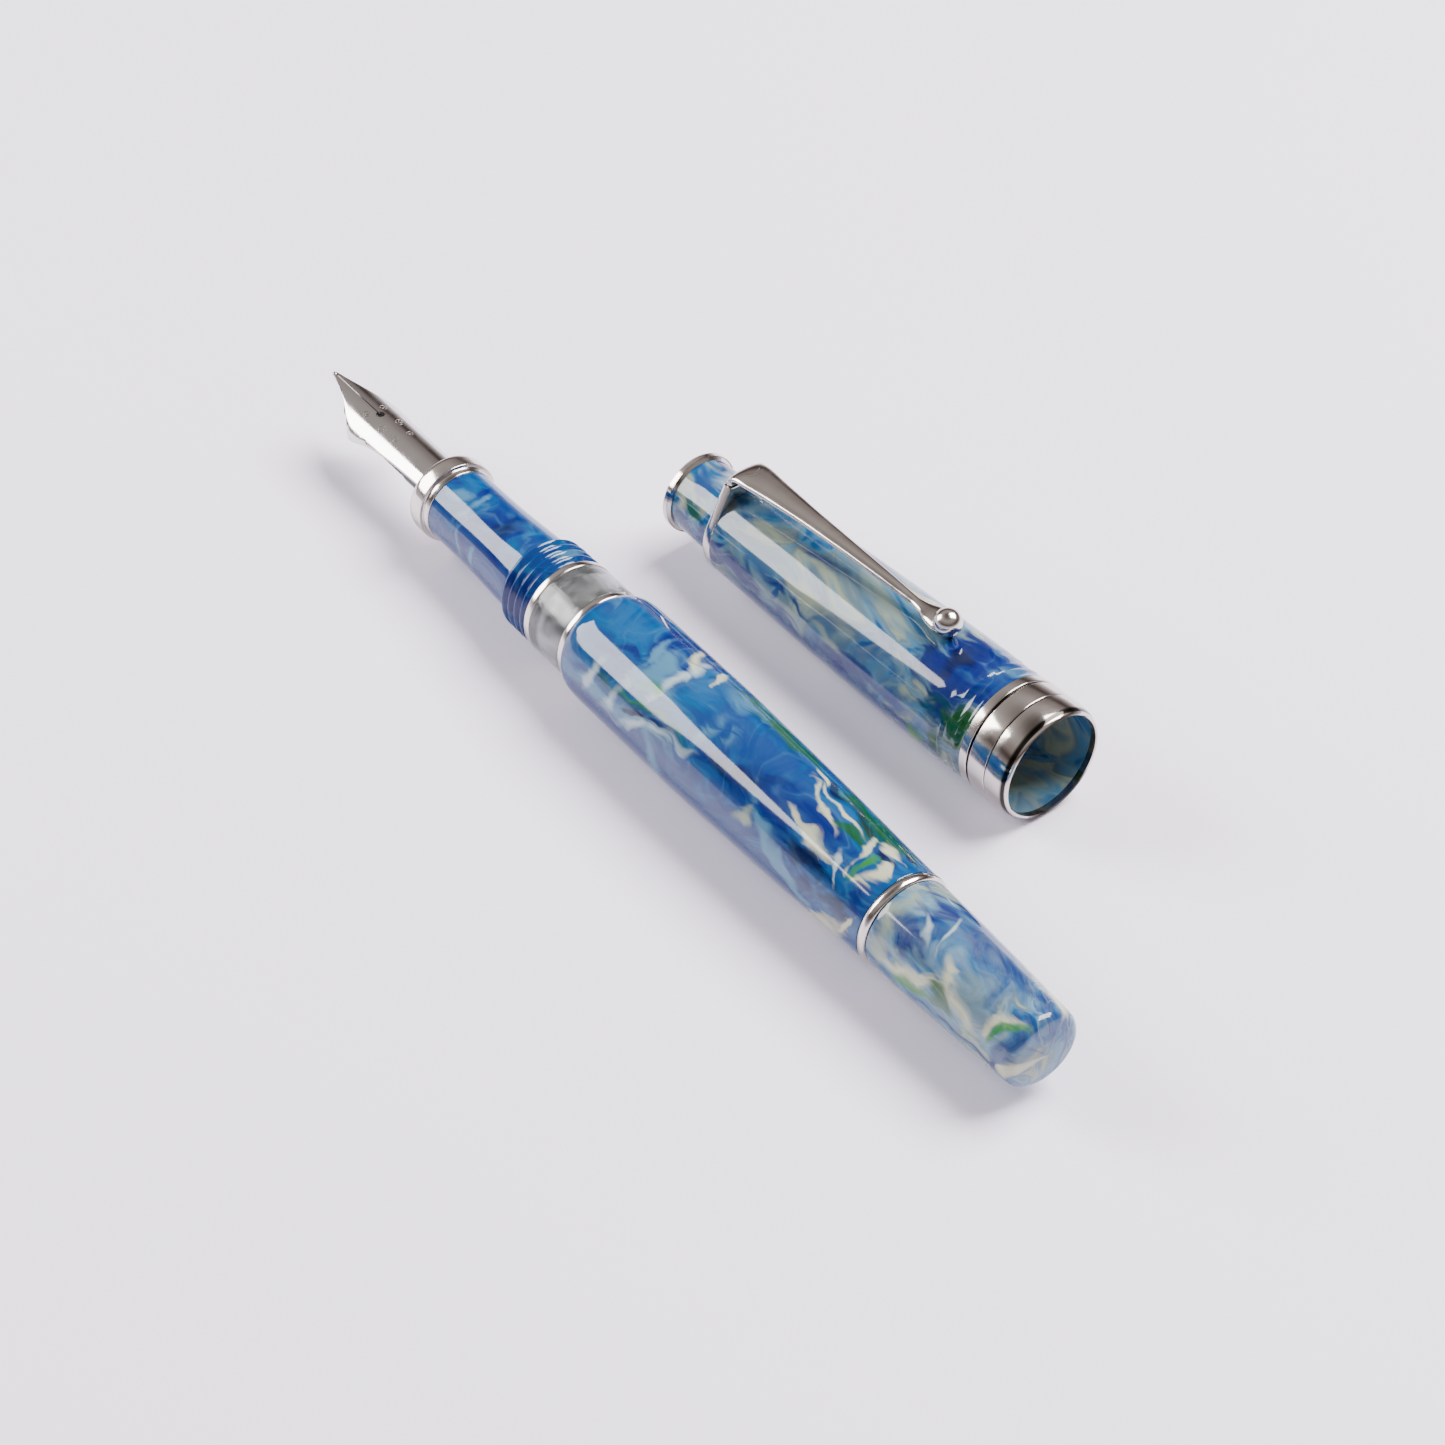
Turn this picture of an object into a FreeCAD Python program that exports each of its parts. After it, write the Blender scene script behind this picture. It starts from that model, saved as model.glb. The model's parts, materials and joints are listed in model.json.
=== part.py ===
import FreeCAD, Part
import Sketcher
import os
import re

# Fountain pen with a piston filler, uncapped, and its screw cap lying beside it.
# Every turned piece is drawn in its own frame: X runs along its axis, with 0 at the front face
# of the barrel for the pen (the nib points to -X) and 0 at the mouth for the cap (the closed
# end points to -X). Placements then lay both on the desk, +Z up, all sizes in millimetres.

doc = FreeCAD.newDocument("fountain_pen")
dims = doc.addObject("Spreadsheet::Sheet", "dims")

DRIVING = {
    # where the pen and the cap lie
    "pen_shift": -9.1, "pen_side": -13.97, "cap_mouth_along": 37.25, "cap_side": 13.59,
    "cap_yaw": 3.0, "fit_gap": 0.03, "run_gap": 0.05,
    # pen outside, stations from the barrel front face
    "nib_tip": -60.0, "ring_front": -34.1, "grip_front": -30.5, "grip_rear": -13.4,
    "thread_rear": -7.8, "window_front": -6.8, "window_rear": -0.9, "barrel_end": 54.3,
    "knob_front": 55.6, "knob_end": 78.2,
    "section_ring_rad": 5.4, "spigot_front_rad": 4.1, "grip_front_rad": 4.7,
    "grip_rear_rad": 5.2, "thread_rad": 6.1, "thread_root_rad": 5.55, "thread_pitch": 1.25,
    "trim_rad": 6.15, "window_rad": 6.1, "barrel_rad": 6.9, "barrel_end_rad": 5.8,
    "rear_ring_rad": 6.0, "knob_rad": 5.6, "knob_end_rad": 4.75, "barrel_shoulder": 2.2,
    # pen inside
    "chamber_rad": 4.9, "tenon_front": -15.8, "tenon_front_rad": 5.0, "tenon_bore_rad": 4.3,
    "tenon_rear": 8.0, "tenon_rear_rad": 5.6, "gasket_thick": 0.5, "collar_rad": 3.62,
    "collar_bore_rad": 2.86, "collar_front": -31.5, "collar_rear": -19.0,
    "sleeve_front": 36.5, "sleeve_rear": 61.5, "hub_rad": 3.85, "rod_rad": 3.0,
    "rod_bore_rad": 2.1, "rod_front": 33.5, "rod_rear": 69.0, "seal_front": 29.5,
    "seal_rear": 33.5, "boss_rad": 1.6, "spindle_front": 36.0, "spindle_pitch": 2.0,
    "flange_front": 72.0, "flange_rear": 74.0, "knob_bore_rad": 3.4, "knob_bush_rad": 4.4,
    "bush_rear": 62.0, "seal_ring_at": 38.7, "seal_ring_wire": 0.34,
    # nib and feed
    "nib_thick": 0.35, "nib_bend_rad": 4.5, "nib_drop": 1.75, "nib_shoulder": -50.4,
    "nib_half_width": 3.9, "nib_waist": 2.9, "nib_waist_at": -33.0, "tang_half_width": 1.0,
    "tang_rear": -22.0, "vent_at": -48.8, "vent_rad": 0.55, "slit_width": 0.12,
    "tipping_rad": 0.42, "feed_front": -56.0, "feed_rad": 2.3,
    # cap outside, stations from the mouth
    "lip_rad": 7.3, "band_end": -7.5, "band_groove": 0.3, "band_groove_rad": 7.1,
    "rear_band_rad": 7.25, "spigot_rad": 6.9, "cap_rad": 7.12, "cap_end": -52.7,
    "cap_end_rad": 5.93, "clip_ring_end": -54.0, "clip_ring_rad": 5.98, "neck_end": -61.5,
    "neck_rad": 5.1, "neck_end_rad": 4.72, "disc_end": -62.7, "disc_rad": 5.2,
    # cap inside
    "mouth_rad": 6.5, "cap_thread_front": -7.2, "cap_thread_rear": -12.3,
    "cap_minor_rad": 6.13, "cap_major_rad": 6.28, "cap_deep_rad": 5.75,
    "inner_front": -34.5, "inner_rad": 5.2, "inner_bore_rad": 4.6, "inner_shoulder_rad": 4.7,
    "stem_rad": 3.7, "stem_bore_rad": 3.05, "stem_end": -61.0,
    # clip
    "clip_root_front": -52.8, "clip_root_rear": -54.6, "clip_base": 7.7, "clip_height": 9.2,
    "clip_thick": 1.1, "clip_end": -17.3, "clip_root_width": 4.4, "clip_tip_width": 1.8,
    "ball_at": -17.9, "ball_rad": 1.72, "ball_lift": 8.85, "shoulder_top": 7.6,
    "shoulder_top_half": 2.75, "shoulder_low": 2.82, "shoulder_low_half": 5.26,
}
for row, (alias, number) in enumerate(DRIVING.items(), start=1):
    dims.set(f"A{row}", alias)
    dims.set(f"B{row}", str(number))
    dims.setAlias(f"B{row}", alias)
doc.recompute()

PEN_SPOT = ("placement(vector(dims.pen_shift; dims.pen_side; dims.barrel_rad); "
            "rotation(vector(0; 0; 1); 0))")
CAP_SPOT = ("placement(vector(dims.cap_mouth_along; dims.cap_side; dims.lip_rad); "
            "rotation(vector(0; 0; 1); dims.cap_yaw))")
sub_parts = []


def value(expression):
    """The number that an expression gives now."""
    return float(dims.evalExpression(expression))


def full(text):
    """Expression text with every sheet alias written with its sheet's name."""
    return re.sub(r"[a-z_]+", lambda m: "dims." * (m[0] in DRIVING) + m[0], text)


def origin_plane(body, role):
    return next(f for f in body.Origin.OriginFeatures if f.Role == role)


def new_body(label, spot):
    body = doc.addObject("PartDesign::Body", label)
    body.Label = label
    body.setExpression("Placement", spot)
    sub_parts.append(body)
    return body


def new_sketch(body, name, role):
    sketch = body.newObject("Sketcher::SketchObject", name)
    sketch.AttachmentSupport = [(origin_plane(body, role), "")]
    sketch.MapMode = "FlatFace"
    return sketch


def bow(start, end, radius):
    """A convex arc from start to end, its centre on the right of the way it goes."""
    chord = end - start
    half = chord.Length / 2
    side = FreeCAD.Vector(chord.y, -chord.x, 0).normalize()
    centre = (start + end) / 2 + side * max(radius ** 2 - half ** 2, 0) ** 0.5
    circle = Part.Circle(centre, FreeCAD.Vector(0, 0, 1), radius)
    return Part.ArcOfCircle(circle, circle.parameter(end), circle.parameter(start))


def draw(sketch, points):
    """A closed outline through (across, up) points; a third entry bows the edge that follows."""
    points = [tuple(full(str(entry)) for entry in point) for point in points]
    places = [FreeCAD.Vector(value(p[0]), value(p[1]), 0) for p in points]
    first = sketch.GeometryCount
    ends = []
    for i, point in enumerate(points):
        start, end = places[i], places[(i + 1) % len(points)]
        if len(point) == 3:
            edge = sketch.addGeometry(bow(start, end, value(point[2])), False)
            radius = sketch.addConstraint(Sketcher.Constraint("Radius", edge, value(point[2])))
            sketch.setExpression(f"Constraints[{radius}]", point[2])
            ends.append((2, 1))
        else:
            sketch.addGeometry(Part.LineSegment(start, end), False)
            ends.append((1, 2))
    for i, point in enumerate(points):
        edge, before = first + i, first + (i - 1) % len(points)
        sketch.addConstraint(Sketcher.Constraint("Coincident", before, ends[i - 1][1],
                                                 edge, ends[i][0]))
        pin_point(sketch, edge, ends[i][0], point, places[i])


def pin_point(sketch, edge, end, point, place):
    """Ties one corner to its two expressions, or to an axis where an entry is 0."""
    for kind, text, number, axis in (("DistanceX", point[0], place.x, -2),
                                     ("DistanceY", point[1], place.y, -1)):
        if text == "0":
            sketch.addConstraint(Sketcher.Constraint("PointOnObject", edge, end, axis))
        else:
            row = sketch.addConstraint(Sketcher.Constraint(kind, edge, end, number))
            sketch.setExpression(f"Constraints[{row}]", text)


def turned(label, points, spot=PEN_SPOT):
    """A piece turned about its own X axis from half of its section."""
    body = new_body(label, spot)
    sketch = new_sketch(body, label + "_section", "XZ_Plane")
    draw(sketch, points)
    turn = body.newObject("PartDesign::Revolution", label + "_turn")
    turn.Profile = sketch
    turn.ReferenceAxis = (sketch, ["H_Axis"])
    turn.Angle = 360
    sketch.Visibility = False
    return body


def ring(wire, station, middle, label, spot=PEN_SPOT):
    """A round rubber or metal ring about the X axis."""
    torus = doc.addObject("Part::Torus", label)
    torus.Label = label
    torus.setExpression("Radius1", full(middle))
    torus.setExpression("Radius2", full(wire))
    torus.setExpression("Placement", spot + f" * placement(vector({full(station)}; 0; 0); "
                        "rotation(vector(0; 1; 0); 90))")
    sub_parts.append(torus)
    return torus


def thread_ridges(front, pitch, count, crest, root):
    """Rounded-off thread crests as rings, from front to rear."""
    points = []
    for i in range(count):
        start = f"{front} + {i} * {pitch}"
        points += [(start, root), (f"{start} + 0.3 * {pitch}", crest),
                   (f"{start} + 0.6 * {pitch}", crest), (f"{start} + 0.9 * {pitch}", root)]
    return points


# --- pen: section, trim rings, ink window and barrel ---

turned("section", [
    ("ring_front + 0.4", "spigot_front_rad"), ("grip_front", "spigot_front_rad"),
    ("grip_front", "grip_front_rad"),
    ("grip_front + 6", "grip_front_rad + 0.05"), ("grip_rear - 3", "grip_rear_rad - 0.1"),
    ("grip_rear", "grip_rear_rad"),
    *thread_ridges("grip_rear + 0.2", "thread_pitch", 4, "thread_rad", "thread_root_rad"),
    ("thread_rear", "thread_root_rad"), ("thread_rear", "tenon_front_rad + fit_gap"),
    ("tenon_front - gasket_thick", "tenon_front_rad + fit_gap"),
    ("tenon_front - gasket_thick", "collar_rad + fit_gap"),
    ("ring_front + 0.4", "collar_rad + fit_gap"),
])
turned("section_ring", [
    ("ring_front", "section_ring_rad - 0.6", "0.9"), ("ring_front + 0.7", "section_ring_rad"),
    ("grip_front - 1.2", "section_ring_rad - 0.05"), ("grip_front", "section_ring_rad - 0.4"),
    ("grip_front", "spigot_front_rad + fit_gap"),
    ("ring_front + 0.35", "spigot_front_rad + fit_gap"),
    ("ring_front + 0.35", "collar_rad + 0.1"), ("ring_front", "collar_rad + 0.1"),
])
turned("section_gasket", [
    ("tenon_front - gasket_thick", "tenon_front_rad"), ("tenon_front", "tenon_front_rad"),
    ("tenon_front", "collar_rad + 0.1"), ("tenon_front - gasket_thick", "collar_rad + 0.1"),
])
turned("window_ring_front", [
    ("thread_rear", "trim_rad - 0.15"), ("thread_rear + 0.2", "trim_rad"),
    ("window_front - 0.2", "trim_rad"), ("window_front", "trim_rad - 0.15"),
    ("window_front", "tenon_front_rad + fit_gap"), ("thread_rear", "tenon_front_rad + fit_gap"),
])
turned("ink_window", [
    ("tenon_front", "tenon_front_rad"), ("window_front", "tenon_front_rad"),
    ("window_front", "window_rad"), ("window_rear", "window_rad"),
    ("window_rear", "tenon_rear_rad"), ("tenon_rear", "tenon_rear_rad"),
    ("tenon_rear", "chamber_rad"), ("window_front + 0.5", "chamber_rad"),
    ("window_front - 0.1", "tenon_bore_rad"), ("tenon_front", "tenon_bore_rad"),
])
turned("window_ring_rear", [
    ("window_rear", "trim_rad - 0.1"), ("window_rear + 0.2", "trim_rad"), ("0", "trim_rad"),
    ("0", "tenon_rear_rad + fit_gap"), ("window_rear", "tenon_rear_rad + fit_gap"),
])
turned("barrel", [
    ("0", "trim_rad", "barrel_shoulder + 0.6"), ("barrel_shoulder", "barrel_rad"),
    ("barrel_end * 0.37", "barrel_rad"), ("barrel_end * 0.56", "barrel_rad - 0.25"),
    ("barrel_end * 0.75", "barrel_rad - 0.55"), ("barrel_end * 0.93", "barrel_end_rad + 0.08"),
    ("barrel_end", "barrel_end_rad"), ("barrel_end", "chamber_rad"),
    ("tenon_rear + gasket_thick", "chamber_rad"),
    ("tenon_rear + gasket_thick", "tenon_rear_rad + fit_gap"),
    ("0", "tenon_rear_rad + fit_gap"),
])
turned("barrel_gasket", [
    ("tenon_rear", "tenon_rear_rad"), ("tenon_rear + gasket_thick", "tenon_rear_rad"),
    ("tenon_rear + gasket_thick", "chamber_rad + 0.1"), ("tenon_rear", "chamber_rad + 0.1"),
])

# --- pen: filling mechanism ---

turned("mechanism_sleeve", [
    ("sleeve_front", "chamber_rad - fit_gap"), ("seal_ring_at - 0.4", "chamber_rad - fit_gap"),
    ("seal_ring_at - 0.4", "chamber_rad - 0.75"), ("seal_ring_at + 0.4", "chamber_rad - 0.75"),
    ("seal_ring_at + 0.4", "chamber_rad - fit_gap"), ("barrel_end", "chamber_rad - fit_gap"),
    ("barrel_end", "hub_rad"), ("sleeve_rear", "hub_rad"),
    ("sleeve_rear", "rod_rad + run_gap"), ("sleeve_front", "rod_rad + run_gap"),
])
ring("seal_ring_wire", "seal_ring_at", "chamber_rad - 0.02 - seal_ring_wire", "sleeve_seal_ring")
turned("rear_ring", [
    ("barrel_end", "rear_ring_rad - 0.45", "0.72"), ("knob_front - 0.05", "rear_ring_rad - 0.45"),
    ("knob_front - 0.05", "hub_rad + fit_gap"), ("barrel_end", "hub_rad + fit_gap"),
])
turned("piston_rod", [
    ("seal_front", "0"), ("seal_front", "boss_rad - 0.1"), ("rod_front", "boss_rad - 0.1"),
    ("rod_front", "rod_rad"), ("rod_rear", "rod_rad"), ("rod_rear", "rod_bore_rad"),
    ("rod_front + 1.5", "rod_bore_rad"), ("rod_front + 1.5", "0"),
])
turned("piston_seal", [
    ("seal_front", "chamber_rad - run_gap"), ("seal_front + 0.9", "chamber_rad - run_gap"),
    ("seal_front + 1.3", "chamber_rad - 0.6"), ("seal_rear - 1.3", "chamber_rad - 0.6"),
    ("seal_rear - 0.9", "chamber_rad - run_gap"), ("seal_rear", "chamber_rad - run_gap"),
    ("seal_rear", "boss_rad"), ("seal_front", "boss_rad"),
])
turned("spindle", [
    ("spindle_front", "0"), ("spindle_front", "rod_bore_rad - 0.35"),
    *thread_ridges("spindle_front + 0.3", "spindle_pitch", 4, "rod_bore_rad - run_gap",
                   "rod_bore_rad - 0.35"),
    ("flange_front", "rod_bore_rad - 0.35"), ("flange_front", "knob_bore_rad - fit_gap"),
    ("flange_rear", "knob_bore_rad - fit_gap"), ("flange_rear", "0"),
])
turned("knob", [
    ("knob_front", "knob_rad - 0.1"), ("knob_front + 0.15", "knob_rad"),
    ("knob_front + 10", "knob_rad - 0.35"), ("knob_end - 1.6", "knob_end_rad", "1.5"),
    ("knob_end - 0.25", "knob_end_rad - 1.5", "24"), ("knob_end", "0"),
    ("flange_rear", "0"), ("flange_rear", "knob_bore_rad"), ("bush_rear", "knob_bore_rad"),
    ("bush_rear", "knob_bush_rad"), ("knob_front", "knob_bush_rad"),
])
turned("knob_bush", [
    ("knob_front + 0.2", "knob_bush_rad - fit_gap"), ("bush_rear", "knob_bush_rad - fit_gap"),
    ("bush_rear", "hub_rad + run_gap"), ("knob_front + 0.2", "hub_rad + run_gap"),
])

# --- pen: nib unit ---

turned("nib_collar", [
    ("collar_front", "collar_rad"), ("collar_rear", "collar_rad"),
    ("collar_rear", "collar_bore_rad"), ("collar_front", "collar_bore_rad"),
])
turned("feed", [
    ("feed_front", "0"), ("feed_front", "1.6"), ("feed_front + 3", "2.05"),
    ("nib_shoulder + 1.5", "feed_rad - 0.1"), ("nib_waist_at", "feed_rad"),
    ("collar_rear", "feed_rad"), ("collar_rear", "0"),
])


def nib_top(station, drop):
    """One point of the nib's upper line, drop below its height at the collar."""
    return station, f"nib_bend_rad - nib_drop - {drop}"


def cut_about_bend(body, name, points):
    """Cuts a region turned about the nib's bend axis, which lies below the pen's axis."""
    before = body.Tip.Shape.Volume
    sketch = new_sketch(body, name + "_section", "XZ_Plane")
    draw(sketch, points)
    low = -value("dims.nib_drop")
    front, rear = value("dims.nib_tip"), value("dims.tang_rear")
    axis = sketch.addGeometry(Part.LineSegment(FreeCAD.Vector(front, low, 0),
                                               FreeCAD.Vector(rear, low, 0)), True)
    sketch.addConstraint(Sketcher.Constraint("Horizontal", axis))
    for kind, end, number in (("DistanceX", 1, "dims.nib_tip"), ("DistanceX", 2, "dims.tang_rear"),
                              ("DistanceY", 1, "-dims.nib_drop")):
        row = sketch.addConstraint(Sketcher.Constraint(kind, axis, end, value(number)))
        sketch.setExpression(f"Constraints[{row}]", number)
    groove = body.newObject("PartDesign::Groove", name)
    groove.Profile = sketch
    groove.ReferenceAxis = (sketch, ["Axis0"])
    groove.Angle = 360
    doc.recompute()
    assert groove.Shape.Volume < before, name
    return groove


TIPPING_SPOT = ("nib_tip + tipping_rad", "nib_bend_rad - nib_drop - 0.4")
BALL_SPOT = ("ball_at", "ball_lift")


def moved_to(spot):
    """Placement text of a point (along, up) in the middle plane of its own frame."""
    return f"placement(vector({full(spot[0])}; 0; {full(spot[1])}); rotation(vector(0; 0; 1); 0))"


def seat_for_ball(body, name, radius, spot):
    """A round hollow that a ball of the same radius sits in."""
    seat = body.newObject("PartDesign::SubtractiveSphere", name)
    seat.setExpression("Radius", full(radius))
    seat.setExpression("Placement", moved_to(spot))


def round_ball(label, radius, frame_spot, spot):
    sphere = doc.addObject("Part::Sphere", label)
    sphere.Label = label
    sphere.setExpression("Radius", full(radius))
    sphere.setExpression("Placement", frame_spot + " * " + moved_to(spot))
    sub_parts.append(sphere)


def build_nib():
    """A bent steel sheet: its outline padded upwards, then cut to the sheet's two skins."""
    body = new_body("nib", PEN_SPOT)
    outline = new_sketch(body, "nib_outline", "XY_Plane")
    half = [("nib_tip + tipping_rad", "slit_width + 0.15"), ("nib_tip + 4.5", "1.4"),
            ("nib_shoulder - 1.2", "nib_half_width - 0.45"), ("nib_shoulder", "nib_half_width"),
            ("nib_shoulder + 1.4", "nib_half_width - 0.1"),
            ("nib_shoulder + 6.5", "nib_waist + 0.3"), ("nib_waist_at", "nib_waist"),
            ("nib_waist_at", "tang_half_width"), ("tang_rear", "tang_half_width")]
    draw(outline, half + [(x, f"-( {y} )") for x, y in reversed(half)])
    pad = body.newObject("PartDesign::Pad", "nib_pad")
    pad.Profile = outline
    pad.SideType = "Two sides"
    pad.setExpression("Length", "dims.nib_bend_rad + 1")
    pad.Length2 = 0.5
    doc.recompute()
    line = [nib_top("nib_tip", "0.15"), nib_top("nib_shoulder", "0.05"),
            nib_top("nib_waist_at", "0"), nib_top("tang_rear", "0")]
    above = [(line[0][0] + " - 1", line[0][1])] + line[1:-1]
    above += [(line[-1][0] + " + 1", line[-1][1])]
    over = [("tang_rear + 1", "2 * barrel_rad"), ("nib_tip - 1", "2 * barrel_rad")]
    cut_about_bend(body, "nib_outer", above + over)
    under = [(x, y + " - nib_thick") for x, y in above]
    axis_side = [("tang_rear + 1", "1 - nib_drop"), ("nib_tip - 1", "1 - nib_drop")]
    cut_about_bend(body, "nib_inner", under + axis_side)
    slit = new_sketch(body, "nib_slit_outline", "XY_Plane")
    draw(slit, [("nib_tip - 1", "slit_width / 2"), ("vent_at", "slit_width / 2"),
                ("vent_at", "-slit_width / 2"), ("nib_tip - 1", "-slit_width / 2")])
    cut_through(body, "nib_slit", slit)
    vent = new_sketch(body, "nib_vent_outline", "XY_Plane")
    circle = vent.addGeometry(Part.Circle(FreeCAD.Vector(value("dims.vent_at"), 0, 0),
                                          FreeCAD.Vector(0, 0, 1), value("dims.vent_rad")))
    vent.addConstraint(Sketcher.Constraint("PointOnObject", circle, 3, -1))
    for kind, text in (("DistanceX", "dims.vent_at"), ("Radius", "dims.vent_rad")):
        where = (circle, 3) if kind == "DistanceX" else (circle,)
        row = vent.addConstraint(Sketcher.Constraint(kind, *where, value(text)))
        vent.setExpression(f"Constraints[{row}]", text)
    cut_through(body, "nib_vent", vent)
    seat_for_ball(body, "nib_tip_seat", "tipping_rad", TIPPING_SPOT)


def cut_through(body, name, sketch):
    """A pocket through the whole body, both ways from its sketch."""
    before = body.Tip.Shape.Volume
    pocket = body.newObject("PartDesign::Pocket", name)
    pocket.Profile = sketch
    pocket.SideType = "Symmetric"
    pocket.setExpression("Length", "4 * dims.barrel_rad")
    doc.recompute()
    assert pocket.Shape.Volume < before, name


build_nib()
round_ball("nib_tipping", "tipping_rad", PEN_SPOT, TIPPING_SPOT)

# --- cap ---

def add_shoulders(body):
    """Flat shoulders that rise from the ring, on tangents to it, to the root of the clip."""
    low = [("shoulder_low_half", "shoulder_low"), ("inner_shoulder_rad + 0.3", "shoulder_low")]
    left = [(f"-( {y} )", z) for y, z in low]
    outline = new_sketch(body, "shoulder_outline", "YZ_Plane")
    outline.setExpression("AttachmentOffset.Base.z", "dims.clip_ring_end")
    draw(outline, [("shoulder_top_half", "shoulder_top"), *low,
                   ("inner_shoulder_rad * 0.5", "clip_ring_rad - 0.8"),
                   ("inner_shoulder_rad * -0.5", "clip_ring_rad - 0.8"),
                   *reversed(left), ("-shoulder_top_half", "shoulder_top")])
    pad = body.newObject("PartDesign::Pad", "shoulder_pad")
    pad.Profile = outline
    pad.setExpression("Length", "dims.cap_end - dims.clip_ring_end")
    doc.recompute()


turned("cap_shell", [
    ("-0.92", "spigot_rad - fit_gap"), ("band_end", "spigot_rad - fit_gap"),
    ("band_end", "cap_rad"), ("cap_end * 0.22", "cap_rad"), ("cap_end * 0.49", "cap_rad - 0.19"),
    ("cap_end * 0.72", "cap_rad - 0.5"), ("cap_end * 0.88", "cap_end_rad + 0.29"),
    ("cap_end", "cap_end_rad"), ("cap_end", "inner_rad + fit_gap"),
    ("inner_front", "inner_rad + fit_gap"), ("inner_front", "cap_deep_rad"),
    ("cap_thread_rear - 0.3", "cap_deep_rad"),
    *thread_ridges("cap_thread_rear - 0.2", "thread_pitch", 4, "cap_minor_rad",
                   "cap_major_rad"),
    ("cap_thread_front - 0.02", "cap_major_rad"), ("cap_thread_front + 0.3", "mouth_rad"),
    ("-0.92", "mouth_rad"),
], CAP_SPOT)
turned("cap_band", [
    ("0", "mouth_rad + 0.1"), ("0", "lip_rad - 0.5"), ("-0.6", "lip_rad"),
    ("band_end * 0.41", "lip_rad"), ("band_end * 0.41", "band_groove_rad"),
    ("band_end * 0.41 - band_groove", "band_groove_rad"),
    ("band_end * 0.41 - band_groove", "lip_rad"), ("band_end * 0.82", "lip_rad"),
    ("band_end * 0.82", "band_groove_rad"), ("band_end * 0.82 - band_groove", "band_groove_rad"),
    ("band_end * 0.82 - band_groove", "rear_band_rad"), ("band_end", "rear_band_rad"),
    ("band_end", "spigot_rad"), ("-0.9", "spigot_rad"), ("-0.9", "mouth_rad"),
    ("-0.1", "mouth_rad"),
], CAP_SPOT)
clip_ring = turned("clip_ring", [
    ("cap_end", "clip_ring_rad"), ("cap_end", "inner_shoulder_rad + fit_gap"),
    ("clip_ring_end", "inner_shoulder_rad + fit_gap"), ("clip_ring_end", "clip_ring_rad - 0.1"),
    ("clip_ring_end + 0.3", "clip_ring_rad"),
], CAP_SPOT)
add_shoulders(clip_ring)
turned("inner_cap", [
    ("inner_front", "inner_bore_rad"), ("inner_front", "inner_rad"),
    ("cap_end + 0.02", "inner_rad"), ("cap_end + 0.02", "inner_shoulder_rad"),
    ("clip_ring_end", "inner_shoulder_rad"), ("clip_ring_end", "stem_rad"),
    ("stem_end", "stem_rad"), ("stem_end", "0"), ("stem_end + 0.6", "0"),
    ("stem_end + 0.6", "stem_bore_rad"), ("clip_ring_end - 0.2", "stem_bore_rad"),
    ("cap_end + 0.8", "inner_bore_rad"),
], CAP_SPOT)
turned("finial_neck", [
    ("neck_end", "neck_end_rad"), ("clip_ring_end - 3", "neck_rad - 0.15"),
    ("clip_ring_end", "neck_rad"), ("clip_ring_end", "stem_rad + fit_gap"),
    ("neck_end", "stem_rad + fit_gap"),
], CAP_SPOT)
turned("finial_disc", [
    ("disc_end", "0"), ("disc_end", "disc_rad - 0.2"), ("disc_end + 0.2", "disc_rad"),
    ("neck_end - 0.2", "disc_rad"), ("neck_end", "disc_rad - 0.2"), ("neck_end", "stem_rad"),
    ("stem_end - 0.02", "stem_rad"), ("stem_end - 0.02", "0"),
], CAP_SPOT)


def build_clip():
    """The spring arm: its side view padded to the root's width, then narrowed to the tip."""
    body = new_body("clip_arm", CAP_SPOT)
    side = new_sketch(body, "clip_side", "XZ_Plane")
    reach = "( clip_end - clip_root_rear )"
    draw(side, [
        ("clip_root_front", "clip_base"), ("clip_root_rear", "clip_base"),
        ("clip_root_rear", "clip_height - 0.8"), ("clip_root_rear + 0.8", "clip_height"),
        (f"clip_root_rear + 0.35 * {reach}", "clip_height + 0.25"),
        (f"clip_root_rear + 0.75 * {reach}", "clip_height"), ("clip_end", "clip_height - 0.1"),
        ("clip_end", "clip_height - 0.1 - clip_thick"),
        (f"clip_root_rear + 0.75 * {reach}", "clip_height - clip_thick"),
        (f"clip_root_rear + 0.35 * {reach}", "clip_height + 0.25 - clip_thick"),
        ("clip_root_front + 1.2", "clip_height - 0.1 - clip_thick"),
    ])
    pad = body.newObject("PartDesign::Pad", "clip_pad")
    pad.Profile = side
    pad.SideType = "Symmetric"
    pad.setExpression("Length", full("clip_root_width"))
    doc.recompute()
    for name, sign in (("clip_taper_left", ""), ("clip_taper_right", "-")):
        flank = new_sketch(body, name + "_outline", "XY_Plane")
        draw(flank, [
            ("clip_root_rear - 2", f"{sign}( clip_root_width / 2 - 0.3 )"),
            ("clip_root_rear + 4", f"{sign}( clip_root_width / 2 )"),
            (f"clip_root_rear + 0.5 * {reach}", f"{sign}( clip_tip_width / 2 + 0.35 )"),
            ("clip_end + 1", f"{sign}( clip_tip_width / 2 )"),
            ("clip_end + 1", f"{sign}( clip_root_width )"),
            ("clip_root_rear - 2", f"{sign}( clip_root_width )"),
        ])
        cut_through(body, name, flank)
    seat_for_ball(body, "clip_ball_seat", "ball_rad", BALL_SPOT)


build_clip()
round_ball("clip_ball", "ball_rad", CAP_SPOT, BALL_SPOT)

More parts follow.
